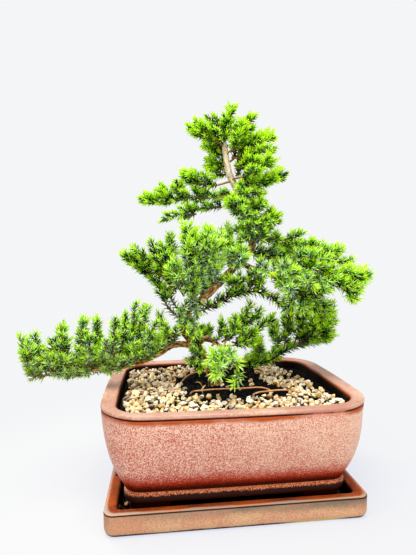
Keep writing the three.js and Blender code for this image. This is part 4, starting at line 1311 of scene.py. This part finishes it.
# further stems of the sprays: each point is a pixel of the photograph, across and down, and a depth Y in mm
fullerStems = {
    "crown_left": (
        ((229, 132, 4), (216, 124, 0), (206, 116, -2)),
        ((228, 140, 4), (214, 134, -6), (202, 129, -10), (194, 125, -10)),
        ((228, 146, 4), (214, 141, 0), (200, 136, -8), (191, 132, -8)),
        ((226, 150, 7), (216, 144, 10), (206, 142, 8)),
    ),
    "crown_left_low": (((226, 150, 7), (216, 149, 10), (208, 150, 8)),),
    "crown_left_under": (
        ((229, 162, 7), (219, 164, 10), (209, 169, 8)),
        ((228, 156, 7), (218, 155, 10), (208, 157, 8)),
        ((232, 174, 7), (222, 175, 10), (210, 179, 8)),
    ),
    "crown_right": (
        ((229, 142, 3), (240, 132, -8), (249, 122, -12), (254, 115, -12)),
        ((231, 152, 3), (238, 141, -10), (241, 130, -16), (243, 119, -16)),
    ),
    "crown_right_out": (
        ((231, 150, 3), (250, 146, -2), (266, 141, -8), (276, 137, -10)),
        ((233, 158, 3), (252, 156, -8), (266, 151, -14), (277, 147, -16)),
    ),
    "crown_right_low": (
        ((236, 168, 3), (248, 166, -12), (260, 163, -18), (272, 158, -18)),
        ((240, 180, 3), (254, 184, -6), (268, 182, -8), (279, 179, -8)),
        ((244, 188, 3), (256, 195, -8), (266, 193, -10)),
        ((242, 178, 5), (249, 169, -6), (252, 158, -12), (250, 149, -12)),
        ((235, 166, 6), (241, 157, 8), (243, 147, 8)),
        ((236, 176, 7), (239, 170, 10), (240, 162, 10)),
        ((232, 158, 7), (236, 151, 10), (237, 143, 10)),
        ((244, 190, 5), (250, 182, -6), (255, 173, -12)),
    ),
    "shoulder_left": (((198, 184, -6), (190, 178, -10), (184, 170, -10)),),
    "long_left_upper": (
        ((186, 200, -5), (180, 190, -8), (176, 180, -8)),
        ((172, 203, -6), (164, 193, -8), (160, 184, -8)),
        ((160, 204, -7), (149, 201, -8), (140, 202, -8)),
    ),
    "long_left_lower": (
        ((240, 202, 8), (228, 197, 6), (216, 195, 4)),
        ((196, 214, 16), (188, 216, 12), (182, 218, 12)),
    ),
    "middle_front": (
        ((249, 204, 4), (243, 206, -12), (234, 206, -20), (226, 200, -22)),
        ((251, 202, 4), (243, 194, -10), (239, 184, -12)),
        ((254, 216, 5), (246, 216, -14), (240, 221, -22)),
    ),
    "middle_right_up": (
        ((252, 208, 5), (258, 206, -10), (266, 203, -14)),
        ((255, 222, 6), (254, 226, -12), (250, 236, -20)),
    ),
    "middle_right": (
        ((255, 228, 6), (262, 226, -8), (270, 221, -14), (277, 216, -16)),
        ((254, 236, 5), (247, 238, -12), (238, 242, -20)),
        ((254, 238, 5), (259, 238, -12), (266, 235, -18)),
    ),
    "right_upper": (
        ((280, 240, 8), (291, 239, 2), (299, 235, -2), (302, 231, -4)),
        ((258, 234, 6), (265, 230, -4), (273, 229, -8)),
        ((264, 240, 6), (272, 240, -4), (281, 238, -8)),
        ((282, 242, 12), (296, 246, 2), (307, 246, -4), (315, 242, -8)),
    ),
    "right_top": (
        ((300, 250, 7), (312, 250, -4), (320, 249, -10), (326, 245, -12)),
        ((300, 252, 8), (320, 257, -6), (334, 253, -12), (342, 247, -14)),
        ((290, 252, 8), (300, 260, -6), (312, 264, -14)),
        ((330, 256, 5), (342, 262, -2), (353, 262, -8)),
    ),
    "right_long": (
        ((300, 276, -14), (322, 281, -20), (342, 285, -24), (352, 292, -26), (355, 300, -26)),
        ((316, 278, -16), (334, 274, -22), (350, 274, -26), (365, 283, -26)),
        ((310, 277, -15), (322, 287, -20), (332, 292, -22)),
        ((328, 279, -20), (343, 287, -24), (351, 296, -26), (353, 302, -26)),
        ((336, 279, -20), (350, 286, -24), (361, 291, -26)),
    ),
    "right_front": (
        ((262, 271, -8), (265, 269, -20), (270, 275, -26)),
        ((256, 268, -4), (258, 275, -16), (261, 284, -20)),
        ((288, 268, -12), (292, 279, -26), (286, 288, -30)),
        ((276, 262, -8), (284, 270, -26), (296, 276, -34)),
        ((296, 272, -13), (308, 282, -28), (314, 290, -32)),
    ),
    "right_mid": (
        ((284, 262, -8), (300, 258, -16), (318, 258, -22), (335, 262, -26)),
        ((292, 268, -10), (310, 268, -20), (329, 270, -26)),
    ),
    "right_drop": (
        ((300, 290, -6), (304, 302, -10), (300, 313, -12)),
        ((308, 292, -6), (318, 302, -10), (329, 307, -12)),
        ((298, 288, -10), (290, 300, -12), (290, 313, -10)),
    ),
    "right_arch": (
        ((236, 296, -10), (240, 285, -14), (240, 274, -16)),
        ((248, 292, -10), (251, 281, -14), (250, 271, -16)),
        ((262, 290, -9), (260, 280, -14), (263, 272, -14)),
        ((275, 288, -10), (283, 280, -18), (288, 272, -20)),
        ((284, 290, -10), (306, 294, -14), (328, 291, -16)),
        ((229, 298, -10), (233, 288, -16), (233, 278, -20)),
    ),
    "low_right": (
        ((284, 349, 34), (287, 330, 28), (290, 308, 24)),
        ((294, 345, 34), (300, 326, 26), (305, 305, 22)),
        ((300, 343, 34), (312, 327, 26), (324, 308, 22)),
        ((306, 342, 34), (321, 330, 28), (333, 317, 24)),
        ((314, 341, 33), (325, 336, 28), (334, 331, 26)),
        ((279, 351, 34), (276, 338, 28), (272, 326, 24), (270, 319, 22)),
        ((262, 361, 32), (259, 350, 20), (258, 340, 14)),
        ((308, 341, 33), (322, 338, 24), (332, 336, 20)),
        ((304, 343, 33), (318, 334, 22), (332, 324, 16)),
        ((296, 345, 33), (308, 336, 20), (316, 322, 14)),
    ),
    "hook_right": (
        ((226, 340, 2), (241, 322, 0), (248, 310, -2), (251, 301, -4)),
        ((222, 342, -2), (232, 334, -8), (235, 324, -10), (236, 316, -12)),
        ((230, 336, 2), (246, 325, 0), (257, 315, 0), (261, 308, -2)),
        ((236, 338, 2), (247, 336, -4), (256, 330, -6)),
        ((232, 342, 2), (243, 345, -4), (254, 345, -6)),
    ),
    "hook_up": (((212, 346, -14), (219, 336, -14), (222, 327, -12), (221, 319, -12)),),
    "left_middle": (
        ((172, 286, 6), (160, 274, 0), (146, 260, -4), (131, 247, -6)),
        ((176, 292, 4), (168, 276, -6), (158, 258, -8), (151, 240, -8)),
        ((164, 276, 8), (150, 272, 4), (136, 264, 2), (122, 254, 2)),
    ),
    "left_inner": (((184, 296, 3), (172, 276, -8), (166, 258, -10), (161, 243, -10)),),
    "heart_left": (
        ((200, 288, -5), (190, 272, -26), (187, 252, -34), (186, 230, -34)),
        ((194, 294, -2), (182, 284, -20), (175, 272, -26), (173, 258, -28)),
        ((203, 284, -6), (196, 262, -30), (194, 244, -36), (194, 230, -36)),
    ),
    "heart": (
        ((212, 278, -7), (207, 260, -28), (206, 242, -32), (206, 230, -32)),
        ((216, 274, -6), (217, 256, -24), (218, 242, -26), (217, 232, -26)),
    ),
    "heart_back": (((228, 266, -4), (230, 252, -12), (229, 243, -12), (226, 236, -10)),),
    "heart_front": (
        ((238, 262, -2), (240, 256, -16), (246, 250, -22)),
        ((236, 264, -3), (230, 258, -18), (226, 252, -24)),
    ),
    "elbow": (((192, 298, 0), (194, 290, -16), (196, 280, -22)),),
    "elbow_low": (
        ((188, 310, 3), (184, 320, -12), (187, 332, -18)),
        ((190, 318, 4), (194, 326, -14), (194, 338, -20)),
        ((190, 304, 3), (196, 310, -14), (197, 318, -20)),
    ),
    "base_left": (((192, 330, 5), (196, 338, -12), (196, 348, -18)),),
    "stub_left": (
        ((168, 344, -2), (167, 334, -10), (165, 322, -14)),
        ((172, 343, -1), (176, 334, -10), (178, 326, -14)),
    ),
    "front_tuft": (
        ((225, 358, -24), (216, 358, -34), (207, 362, -42)),
        ((225, 358, -24), (221, 353, -32), (219, 349, -36)),
        ((225, 358, -24), (230, 354, -34), (234, 351, -38)),
        ((225, 358, -24), (233, 361, -38), (240, 366, -46)),
        ((225, 360, -26), (218, 367, -40), (212, 374, -48)),
    ),
    "low_left_tip": (
        ((34, 374, -12), (25, 354, -22), (19, 335, -28)),
        ((40, 373, -12), (37, 352, -6), (35, 332, -6)),
        ((50, 375, -12), (36, 376, -18), (27, 373, -26)),
        ((38, 374, -12), (28, 364, -22), (20, 350, -28)),
        ((36, 374, -12), (29, 352, -22), (24, 342, -26)),
        ((46, 374, -12), (44, 360, -2), (43, 346, 2)),
    ),
    "low_left_g": (
        ((60, 374, -12), (62, 350, -18), (63, 326, -20)),
        ((54, 374, -12), (53, 356, -6), (51, 340, -2)),
    ),
    "low_left_f": (
        ((66, 373, -12), (67, 354, -6), (67, 338, -4)),
        ((80, 372, -11), (84, 344, -14), (84, 316, -16)),
    ),
    "low_left_e": (
        ((95, 371, -11), (97, 343, -4), (97, 317, 0)),
        ((88, 371, -11), (89, 352, -20), (90, 336, -24)),
    ),
    "low_left_d": (
        ((106, 369, -10), (114, 343, -14), (117, 320, -16)),
        ((102, 370, -11), (105, 352, -20), (107, 340, -24)),
    ),
    "low_left_c": (((117, 367, -9), (123, 339, -4), (125, 315, 0)),),
    "low_left_b": (((127, 365, -9), (133, 331, -10), (135, 303, -10)),),
    "low_left_a": (
        ((137, 362, -7), (144, 332, -2), (147, 305, 0)),
        ((146, 359, -5), (150, 344, -12), (150, 332, -14)),
    ),
}
shoots = {
    "step": 1.2,  # length of a stem's straight pieces, and about that of a side shoot's
    "sideStep": 1.5,
    "closing": 7.0,  # the last stretch of a shoot, over which its needles close up
    "bare": 0.04,  # share of a spray's stem without needles
    "sidesFrom": 0.0,  # share of it without side shoots
    "sideEvery": 2.6,
    "sideLength": 13,
    "fullerSide": 9.5,  # the same two of the further stems
    "fullerBare": 0.15,
    "sideLean": 50,  # degrees from its stem
    "sideTurn": 137.5,  # degrees round the stem to the next
    "sideUp": 0.55,  # how much those of a level stem turn upwards
    "sideMost": (0.62, 3.5),  # the longest, as a share of the stem beyond it and a length on top of that
    "sideAge": (0.09, 0.25),  # how fresh its needles are at the stem's root, and how much fresher at its tip
    "bareTip": 3,  # the last stretch of a stem, without side shoots, or of a side shoot, without shootlets
    "twigEvery": 3.0,  # shootlets on a side shoot
    "twigLength": 6.8,
    "twigLean": (38, 55),
    "twigStart": 2.4,  # how far out the first one stands
    "twigMost": (0.8, 2),
    "twigFrom": 7,  # the shortest side shoot that has them
    "stem": (0.95, 0.5),  # radius at the root and the tip
    "stemAge": 0.1,  # how fresh the needles on the stem itself are
    "sideStem": (0.34, 0.2),
    "twigStem": (0.2, 0.15),
    "shade": 0.2,  # how much one shoot differs from the next
}
needle = {
    "whorl": 1.85,  # from one ring of three to the next
    "length": 7.0,
    "width": 1.3,
    "vary": {"whorl": (0.85, 1.15), "length": (0.78, 1.05), "width": (0.85, 1.1), "lean": (0.8, 1.2)},
    "keel": 0.55,  # thickness as a share of its width
    "taperFrom": 0.42,  # share of its length at which it starts to narrow
    "bend": 0.9,  # how far its tip may bend towards its inner face
    "bendBack": 0.35,  # share of that by which some bend the other way
    "lean": 58,
    "lift": 0.12,  # how much it turns to the light
    "budLean": 20,
    "budShort": 0.72,
    "budYoung": 0.85,  # how much fresher the last needles of a shoot are
    "rootShade": 0.75,  # how much darker its root is than its tip: painted shade near the stem
    "freshAndShade": 0.0,  # how much fresher than its stem makes it; below zero it paints a spray darker, as shade
    "shade": 0.07,  # how much one differs from the next
    "pale": 0.3,  # how white its inner face is: its pale band, with a painted highlight
}
# what differs on the sprays whose names start so
spraySettings = {
    "front": {"length": 9.4, "lean": 62, "freshAndShade": 0.4, "pale": 0.95, "sideLength": 5, "fullerSide": 6,
              "width": 1.4, "whorl": 2.1},
    "front_drop": {"bare": 0.66, "sideLength": 4},
    "apex": {"length": 5.8, "whorl": 1.5, "pale": 0.15, "freshAndShade": 0.1},
    "shoulder_left": {"bare": 0.3, "length": 5.8, "whorl": 1.5, "freshAndShade": 0.06},
    "long_left_upper": {"bare": 0.22, "sideLength": 11, "length": 5.8, "whorl": 1.5, "freshAndShade": 0.06},
    "long_left_lower": {"bare": 0.25, "sideLength": 8, "length": 5.8, "whorl": 1.5, "freshAndShade": 0.04},
    "crown": {"length": 5.9, "width": 1.2, "whorl": 1.5, "pale": 0.15, "freshAndShade": 0.1, "bare": 0.3},
    "heart": {"pale": 0.95, "freshAndShade": 0.06, "length": 7.6, "width": 1.35},
    "left": {"sidesFrom": 0.28, "sideLength": 11},
    "elbow": {"pale": 0.9, "sideLength": 7, "fullerSide": 5, "freshAndShade": -0.04},
    "middle": {"freshAndShade": -0.04},
    "right": {"pale": 0.85, "length": 8.0, "freshAndShade": 0.04, "width": 1.35, "whorl": 2.0},
    "right_upper": {"sidesFrom": 0.1, "sideLength": 9, "length": 6.5, "pale": 0.4},
    # the arch's inside is painted darker, as shade
    "right_arch": {"bare": 0.12, "freshAndShade": -0.16, "sideLength": 7, "pale": 0.2},
    "low_right": {"length": 8.2, "freshAndShade": -0.02, "sideLength": 9, "fullerSide": 10, "pale": 0.25,
                  "whorl": 1.5, "bare": 0.25},
    "hook": {"sideLength": 8, "fullerSide": 8},
    "hook_right": {"bare": 0.3},
    "hook_up": {"bare": 0.3, "sideLength": 4, "fullerSide": 5, "freshAndShade": -0.12},
    "low_left": {"sideLength": 8, "fullerSide": 7, "length": 6.8, "freshAndShade": 0.06, "pale": 0.7},
    "stub": {"sideLength": 7, "fullerSide": 5},
    # the base and back sprays are painted darker, as shade behind and under the tree
    "base": {"freshAndShade": -0.1},
    "back": {"freshAndShade": -0.2},
}
# short shoots that stand close together along the low limb, below its taller ones
limbRow = {
    "limb": "lowLeft",
    "from": -54,  # along X
    "to": -147,
    "every": 2.2,
    "hangTo": -88,
    "sway": (0.4, 0.7),  # how far they lean along the limb and across it
    "hangOut": 0.9,
    "hangDown": -0.25,
    "length": (9, 19),
    "hangLength": (5, 10),
    "sideLength": 7.5,
}
foliageColours = {
    "deep": "020c00",
    "dark": "124404",
    "mid": "4c9e0c",
    "fresh": "9be009",
    "tip": "d2fa28",
    # whitish green of the needles' inner faces: their pale band, and a painted highlight
    "band": "e0f8dc",
    "olive": "7d8a26",
    "twigBrown": "a07430",
    "twigGreen": "9aa438",
}
# how low foliage hangs over the grit, and over the rim and what is just outside it
clearance = {
    "overGrit": 86,
    "overRim": 90.5,
    "halfLength": 106,
    "halfDepth": 88,
    "fromReach": 0.6,  # how far it stays within the solids' reach
}
upward = np.array([0.0, 0.0, 1.0])


def modelNeedle():
    # three-sided, widest to its middle, then tapering to its point; its flat face looks along +Y
    bpy.ops.object.select_all(action="DESELECT")
    depth = needle["taperFrom"]
    bpy.ops.mesh.primitive_cylinder_add(vertices=3, radius=0.5, depth=depth, location=(0, 0, depth / 2))
    piece = bpy.context.object
    bpy.ops.object.transform_apply(location=True, rotation=False, scale=False)
    bpy.ops.object.mode_set(mode="EDIT")
    bpy.ops.mesh.select_mode(type="FACE")
    mesh = bmesh.from_edit_mesh(piece.data)
    for face in mesh.faces:
        face.select_set(face.normal.z > 0.9)
    bmesh.update_edit_mesh(piece.data)
    bpy.ops.mesh.extrude_region_move(TRANSFORM_OT_translate={"value": (0, 0, 1 - depth)})
    bpy.ops.mesh.merge(type="CENTER")
    bpy.ops.mesh.select_all(action="SELECT")
    bpy.ops.mesh.normals_make_consistent(inside=False)
    bpy.ops.object.mode_set(mode="OBJECT")
    shape = shapeOf(piece)
    points = shape["points"]
    keelFirst = points[np.argmax(np.hypot(points[:, 0], points[:, 1]))]
    turn = -math.pi / 2 - math.atan2(keelFirst[1], keelFirst[0])
    points = points @ np.array(Matrix.Rotation(turn, 3, "Z")).T
    points[:, 1] = (points[:, 1] - points[:, 1].max()) * needle["keel"]
    shape["points"] = points
    normals = shape["normals"] @ np.array(Matrix.Rotation(turn, 3, "Z")).T
    shape["band"] = (normals[:, 1] > 0.7).astype(float)
    return shape


def atMost(left, share, extra):
    # the longest shoot that may stand where that much of its stem is left
    return left * share + extra


class Grower:
    # gathers the needles and stems of one spray
    def __init__(self, seed, settings):
        self.rng = np.random.default_rng(seed)
        self.size = {**needle, **settings}
        self.needles = []
        self.stems = []

    def vary(self, name):
        # how much larger or smaller that measure of the next needle is
        return self.rng.uniform(*needle["vary"][name])

    def clothe(self, line, age, start, thickness):
        # rings of three needles up a shoot, from a length along it to its tip
        rng = self.rng
        tangents, first, second = framesAlong(line)
        gaps = np.linalg.norm(np.diff(line, axis=0), axis=1)
        along = np.concatenate(([0], np.cumsum(gaps)))
        total = along[-1]
        turn = rng.uniform(0, 2 * math.pi)
        shade = self.size["freshAndShade"] + rng.normal(0, shoots["shade"])
        at = start
        while at < total + 0.2:
            reach = min(at, total)
            i = int(np.searchsorted(along, reach, side="right")) - 1
            i = min(i, len(line) - 2)
            share = (reach - along[i]) / max(gaps[i], 1e-6)
            point = line[i] * (1 - share) + line[i + 1] * share
            tangent, across, up = tangents[i], first[i], second[i]
            bud = min(max(1 - (total - reach) / shoots["closing"], 0), 1)
            lean = math.radians(mixed(self.size["lean"], needle["budLean"], bud))
            for k in range(3):
                angle = turn + k * 2 * math.pi / 3 + rng.normal(0, 0.12)
                tilt = lean * self.vary("lean")
                outward = math.cos(angle) * across + math.sin(angle) * up
                direction = math.cos(tilt) * tangent + math.sin(tilt) * outward
                direction = unit(direction + upward * rng.uniform(0, needle["lift"]))
                length = self.size["length"] * self.vary("length") * mixed(1, needle["budShort"], bud)
                width = self.size["width"] * self.vary("width")
                freshAndShade = age + needle["budYoung"] * bud ** 2.2 + shade + rng.normal(0, needle["shade"])
                freshAndShade = min(max(freshAndShade, 0), 1)
                root = point + outward * thickness * 0.4
                face = unit(tangent - direction * (tangent @ direction))
                if abs(face @ direction) > 0.5:
                    face = outward
                self.needles.append((root, direction, face, length, width, freshAndShade, rng.random()))
            turn += math.pi / 3
            at += self.size["whorl"] * self.vary("whorl")

    def stem(self, line, radii, sides, age):
        self.stems.append((line, np.linspace(radii[0], radii[1], len(line)), sides, age))

    def shootFrom(self, point, tangent, direction, length):
        # a side shoot that leaves along one way and bends towards its stem's way and the light
        count = max(int(length / shoots["sideStep"]), 2)
        line = [point]
        aim = unit(tangent * 0.55 + upward * 0.5)
        for i in range(count):
            share = (i + 0.5) / count
            heading = unit(direction * (1 - share * 0.5) + aim * share * 0.5 + self.rng.normal(0, 0.05, 3))
            line.append(line[-1] + heading * length / count)
        return np.array(line)

    def grow(self, points, longest, bare, sidesFrom):
        # a stem with its needles and side shoots
        rng = self.rng
        line = curveThrough(points, shoots["step"])
        tangents, first, second = framesAlong(line)
        total = shoots["step"] * (len(line) - 1)
        self.stem(line, shoots["stem"], 6, (0.0, 0.7))
        self.clothe(line, shoots["stemAge"], total * bare, shoots["stem"][1])
        at = total * max(bare, sidesFrom) + 1
        turn = rng.uniform(0, 2 * math.pi)
        while at < total - shoots["bareTip"]:
            i = min(int(at / shoots["step"]), len(line) - 2)
            tangent = tangents[i]
            outward = math.cos(turn) * first[i] + math.sin(turn) * second[i]
            level = 1 - abs(tangent[2])
            outward = outward + upward * shoots["sideUp"] * level
            outward = unit(outward - tangent * (outward @ tangent))
            lean = math.radians(shoots["sideLean"] * rng.uniform(0.8, 1.15))
            direction = math.cos(lean) * tangent + math.sin(lean) * outward
            share = at / total
            length = longest * rng.uniform(0.6, 1.1) * (0.65 + 0.35 * math.sin(math.pi * share))
            length = min(length, atMost(total - at, *shoots["sideMost"]))
            length *= 1 + 0.35 * level * max(min(direction[2], 1), -1)
            side = self.shootFrom(line[i], tangent, direction, length)
            if clearOfPot(side[-1]) and withinReach(side[-1]):
                self.addSide(side, length, share)
            at += shoots["sideEvery"] * rng.uniform(0.8, 1.2)
            turn += math.radians(shoots["sideTurn"]) + rng.normal(0, 0.25)

    def addSide(self, side, length, share):
        # a side shoot with its needles and, if it is long enough, its shootlets to the left and right
        rng = self.rng
        oldest, gain = shoots["sideAge"]
        age = oldest + gain * share
        self.stem(side, shoots["sideStem"], 4, (0.6, 0.95))
        self.clothe(side, age, 1.2, shoots["sideStem"][1])
        if length < shoots["twigFrom"]:
            return
        tangents, first, second = framesAlong(side)
        step = length / (len(side) - 1)
        at, hand = shoots["twigStart"], 1
        while at < length - shoots["bareTip"]:
            i = min(int(at / step), len(side) - 2)
            across = unit(np.cross(tangents[i], upward) * hand + upward * 0.35 + rng.normal(0, 0.35, 3))
            across = unit(across - tangents[i] * (across @ tangents[i]))
            lean = math.radians(rng.uniform(*shoots["twigLean"]))
            direction = math.cos(lean) * tangents[i] + math.sin(lean) * across
            twigLength = shoots["twigLength"] * rng.uniform(0.6, 1.1)
            twigLength = min(twigLength, atMost(length - at, *shoots["twigMost"]))
            twig = self.shootFrom(side[i], tangents[i], direction, twigLength)
            if clearOfPot(twig[-1]) and withinReach(twig[-1]):
                self.stem(twig, shoots["twigStem"], 3, (0.75, 1.0))
                self.clothe(twig, age + 0.06, 1.0, 0.25)
            at += shoots["twigEvery"] * rng.uniform(0.85, 1.2)
            hand = -hand


def clearOfPot(point):
    # above the grit inside the pot and above its rim
    x, y, z = point
    if withinHollow(x, y, 0):
        return z > clearance["overGrit"]
    if abs(x) < clearance["halfLength"] and abs(y) < clearance["halfDepth"]:
        return z > clearance["overRim"]
    return True


def withinReach(points):
    # within the space that the solids take up, all told
    margin = clearance["fromReach"]
    low, high = np.array(cadLow) / mm + margin, np.array(cadHigh) / mm - margin
    return np.all((points > low) & (points < high), axis=-1)


def needleArrays(grower, shape):
    # the needles of a spray as points, faces and leaf colours
    columns = [np.array(column) for column in zip(*grower.needles)]
    root, direction, face, length = columns[:4]
    tip = root + direction * length[:, None]
    keep = withinReach(tip) & np.array([clearOfPot(t) for t in tip])
    root, direction, face, length, width, freshAndShade, chance = [column[keep] for column in columns]
    side = np.cross(face, direction)
    t = shape["points"]
    bend = (chance - needle["bendBack"])[:, None] * needle["bend"] * t[None, :, 2] ** 2
    points = (
        root[:, None, :]
        + (side * width[:, None])[:, None, :] * t[None, :, 0:1]
        + (face * width[:, None])[:, None, :] * t[None, :, 1:2]
        + (direction * length[:, None])[:, None, :] * t[None, :, 2:3]
        + face[:, None, :] * bend[:, :, None]
    )
    count = len(root)
    corners = (shape["corners"][None, :] + (np.arange(count) * len(t))[:, None]).ravel()
    totals = np.tile(shape["totals"], count)
    bandOfCorner = np.repeat(shape["band"], shape["totals"])
    colours = np.ones((count, len(shape["corners"]), 4), np.float32)
    height = t[shape["corners"], 2]
    # each needle painted darker towards its root, as shade near the stem
    colours[:, :, 0] = freshAndShade[:, None] + (height - 0.45)[None, :] * needle["rootShade"]
    colours[:, :, 1] = chance[:, None]
    # the inner faces marked for whitening: their pale band and a painted highlight
    colours[:, :, 2] = bandOfCorner[None, :] * grower.size["pale"]
    return points.reshape(-1, 3), corners, totals, colours.reshape(-1, 4)


def stemArrays(grower, first):
    points, corners, totals, colours = [], [], [], []
    for line, radii, sides, (oldest, youngest) in grower.stems:
        rings = np.array(tubeRings(line, radii, sides))
        steps = len(rings)
        points.append(rings.reshape(-1, 3))
        faces = []
        for r in range(steps - 1):
            for k in range(sides):
                n = (k + 1) % sides
                faces.append((r * sides + k, r * sides + n, (r + 1) * sides + n, (r + 1) * sides + k))
        row = [i for quad in faces for i in quad]
        row += list(range(sides - 1, -1, -1)) + [(steps - 1) * sides + k for k in range(sides)]
        corners.append(np.array(row) + first)
        totals.append(np.array([4] * len(faces) + [sides, sides]))
        ringOfCorner = np.array(row) // sides / (steps - 1)
        colour = np.ones((len(row), 4), np.float32)
        colour[:, 0] = oldest + (youngest - oldest) * ringOfCorner
        colours.append(colour)
        first += steps * sides
    return np.concatenate(points), np.concatenate(corners), np.concatenate(totals), np.concatenate(colours)


def rowStems():
    # the stems of the low limb's row, each with the spray that it belongs to
    rng = np.random.default_rng(77)
    limb = curveThrough(wood[limbRow["limb"]]["line"], limbRow["every"])
    owners = {name: points[0][0] for name, points in sprays.items() if name.startswith("low_left")}
    stems = []
    for number, root in enumerate(limb):
        if not limbRow["to"] < root[0] < limbRow["from"]:
            continue
        owner = min(owners, key=lambda name: abs(owners[name] - root[0]))
        # two at each root: both stand near the trunk, and one of them hangs further out
        for hangs in (False, root[0] < limbRow["hangTo"]):
            x, y = rng.normal(0, limbRow["sway"])
            out, rise = (math.copysign(limbRow["hangOut"], y), limbRow["hangDown"]) if hangs else (y, 1)
            way = unit(np.array([x, out, rise]))
            bent = unit(way + upward * 0.25)
            length = rng.uniform(*limbRow["hangLength" if hangs else "length"])
            stems.append((owner, [root, root + way * length * 0.5, root + (way + bent) * length * 0.5]))
    return stems


def seenAt(across, down, depth):
    # the place that the camera sees at a pixel of the photograph and that has this depth
    width, height = camera["picture"]
    turn = bpy.context.scene.camera.matrix_world.to_3x3()
    ray = turn @ Vector((across - width / 2, height / 2 - down, -camera["focal"]))
    start = Vector(camera["place"])
    return np.array(start + ray * ((depth - start.y) / ray.y))


def settingsOf(name):
    found = {}
    for start, settings in spraySettings.items():
        if name.startswith(start):
            found.update(settings)
    return found


def makeSpray(number, name, points, shape, materials):
    settings = {**shoots, **settingsOf(name)}
    grower = Grower(1000 + number, settingsOf(name))
    grower.grow(points, settings["sideLength"], settings["bare"], settings["sidesFrom"])
    for stem in fullerStems.get(name, ()):
        stem = [seenAt(*p) for p in stem]
        grower.grow(stem, settings["fullerSide"], shoots["fullerBare"], settings["sidesFrom"])
    for owner, stem in limbStems:
        if owner == name:
            grower.grow(stem, limbRow["sideLength"], shoots["bare"], shoots["sidesFrom"])
    leaf = needleArrays(grower, shape)
    stem = stemArrays(grower, len(leaf[0]))
    piece = meshFrom("foliage_" + name, np.concatenate((leaf[0], stem[0])) * mm,
                     np.concatenate((leaf[1], stem[1])), np.concatenate((leaf[2], stem[2])))
    colours = piece.data.attributes.new("leaf", "FLOAT_COLOR", "CORNER")
    colours.data.foreach_set("color", np.concatenate((leaf[3], stem[3])).ravel())
    kinds = np.concatenate((np.zeros(len(leaf[2]), np.int32), np.ones(len(stem[2]), np.int32)))
    fit(piece, "foliage", ["spray_" + name], *materials)
    piece.data.polygons.foreach_set("material_index", kinds)
    piece.data.polygons.foreach_set("use_smooth", kinds.astype(bool))
    return len(leaf[2]) // len(shape["totals"])


def needleMaterial():
    c = foliageColours
    leaf = material("juniper_needles", **{"Roughness": 0.5, "Specular IOR Level": 0.08})
    freshAndShade, chance, band = leaf.split("Color", leaf.attribute("leaf", "Color"))
    patch = leaf.speckle(11, 2.0, 0.5)
    x, y, z = leaf.split("XYZ", leaf.place())
    tone = freshAndShade * 1.15 + (chance - 0.5) * 0.4 + (patch - 0.5) * 0.75 + 0.05
    stops = (0.1, c["deep"]), (0.31, c["dark"]), (0.47, c["mid"]), (0.67, c["fresh"]), (0.86, c["tip"])
    colour = leaf.ramp(tone.clamp(), *stops)
    old = (chance.rise(0.82, 1.0) * patch.rise(0.55, 0.4)) * (1 - freshAndShade).rise(0.5, 0.9)
    lowest = z.rise(0.128, 0.102) * x.rise(-0.02, -0.05)
    colour = leaf.mix((old * 0.7 + lowest * 0.55).clamp(), colour, c["olive"])
    # the inner faces whiter: partly their pale band, partly a painted highlight in place of a sheen
    colour = leaf.mix(band * chance.rise(0.0, 0.7) * (1 - freshAndShade * 0.5), colour, c["band"])
    return leaf.finish(**{"Base Color": colour})


def twigMaterial():
    twig = material("green_twigs", Roughness=0.7)
    age = twig.split("Color", twig.attribute("leaf", "Color"))[0]
    scaly = twig.speckle(1.6, 3.0, 0.6)
    tone = (age * 1.1 + (scaly - 0.5) * 0.7 - 0.1).clamp()
    colour = twig.ramp(tone, (0.2, foliageColours["twigBrown"]), (0.6, foliageColours["twigGreen"]),
                       (0.9, foliageColours["fresh"]))
    return twig.finish(**{"Base Color": colour, "Normal": twig.bump(scaly, 0.15, 0.6)})


needleShape = modelNeedle()
limbStems = rowStems()
foliageMaterials = (needleMaterial(), twigMaterial())
needleCount = 0
for sprayNumber, (sprayName, sprayPoints) in enumerate(sprays.items()):
    needleCount += makeSpray(sprayNumber, sprayName, sprayPoints, needleShape, foliageMaterials)
print("foliage ready:", needleCount, "needles")
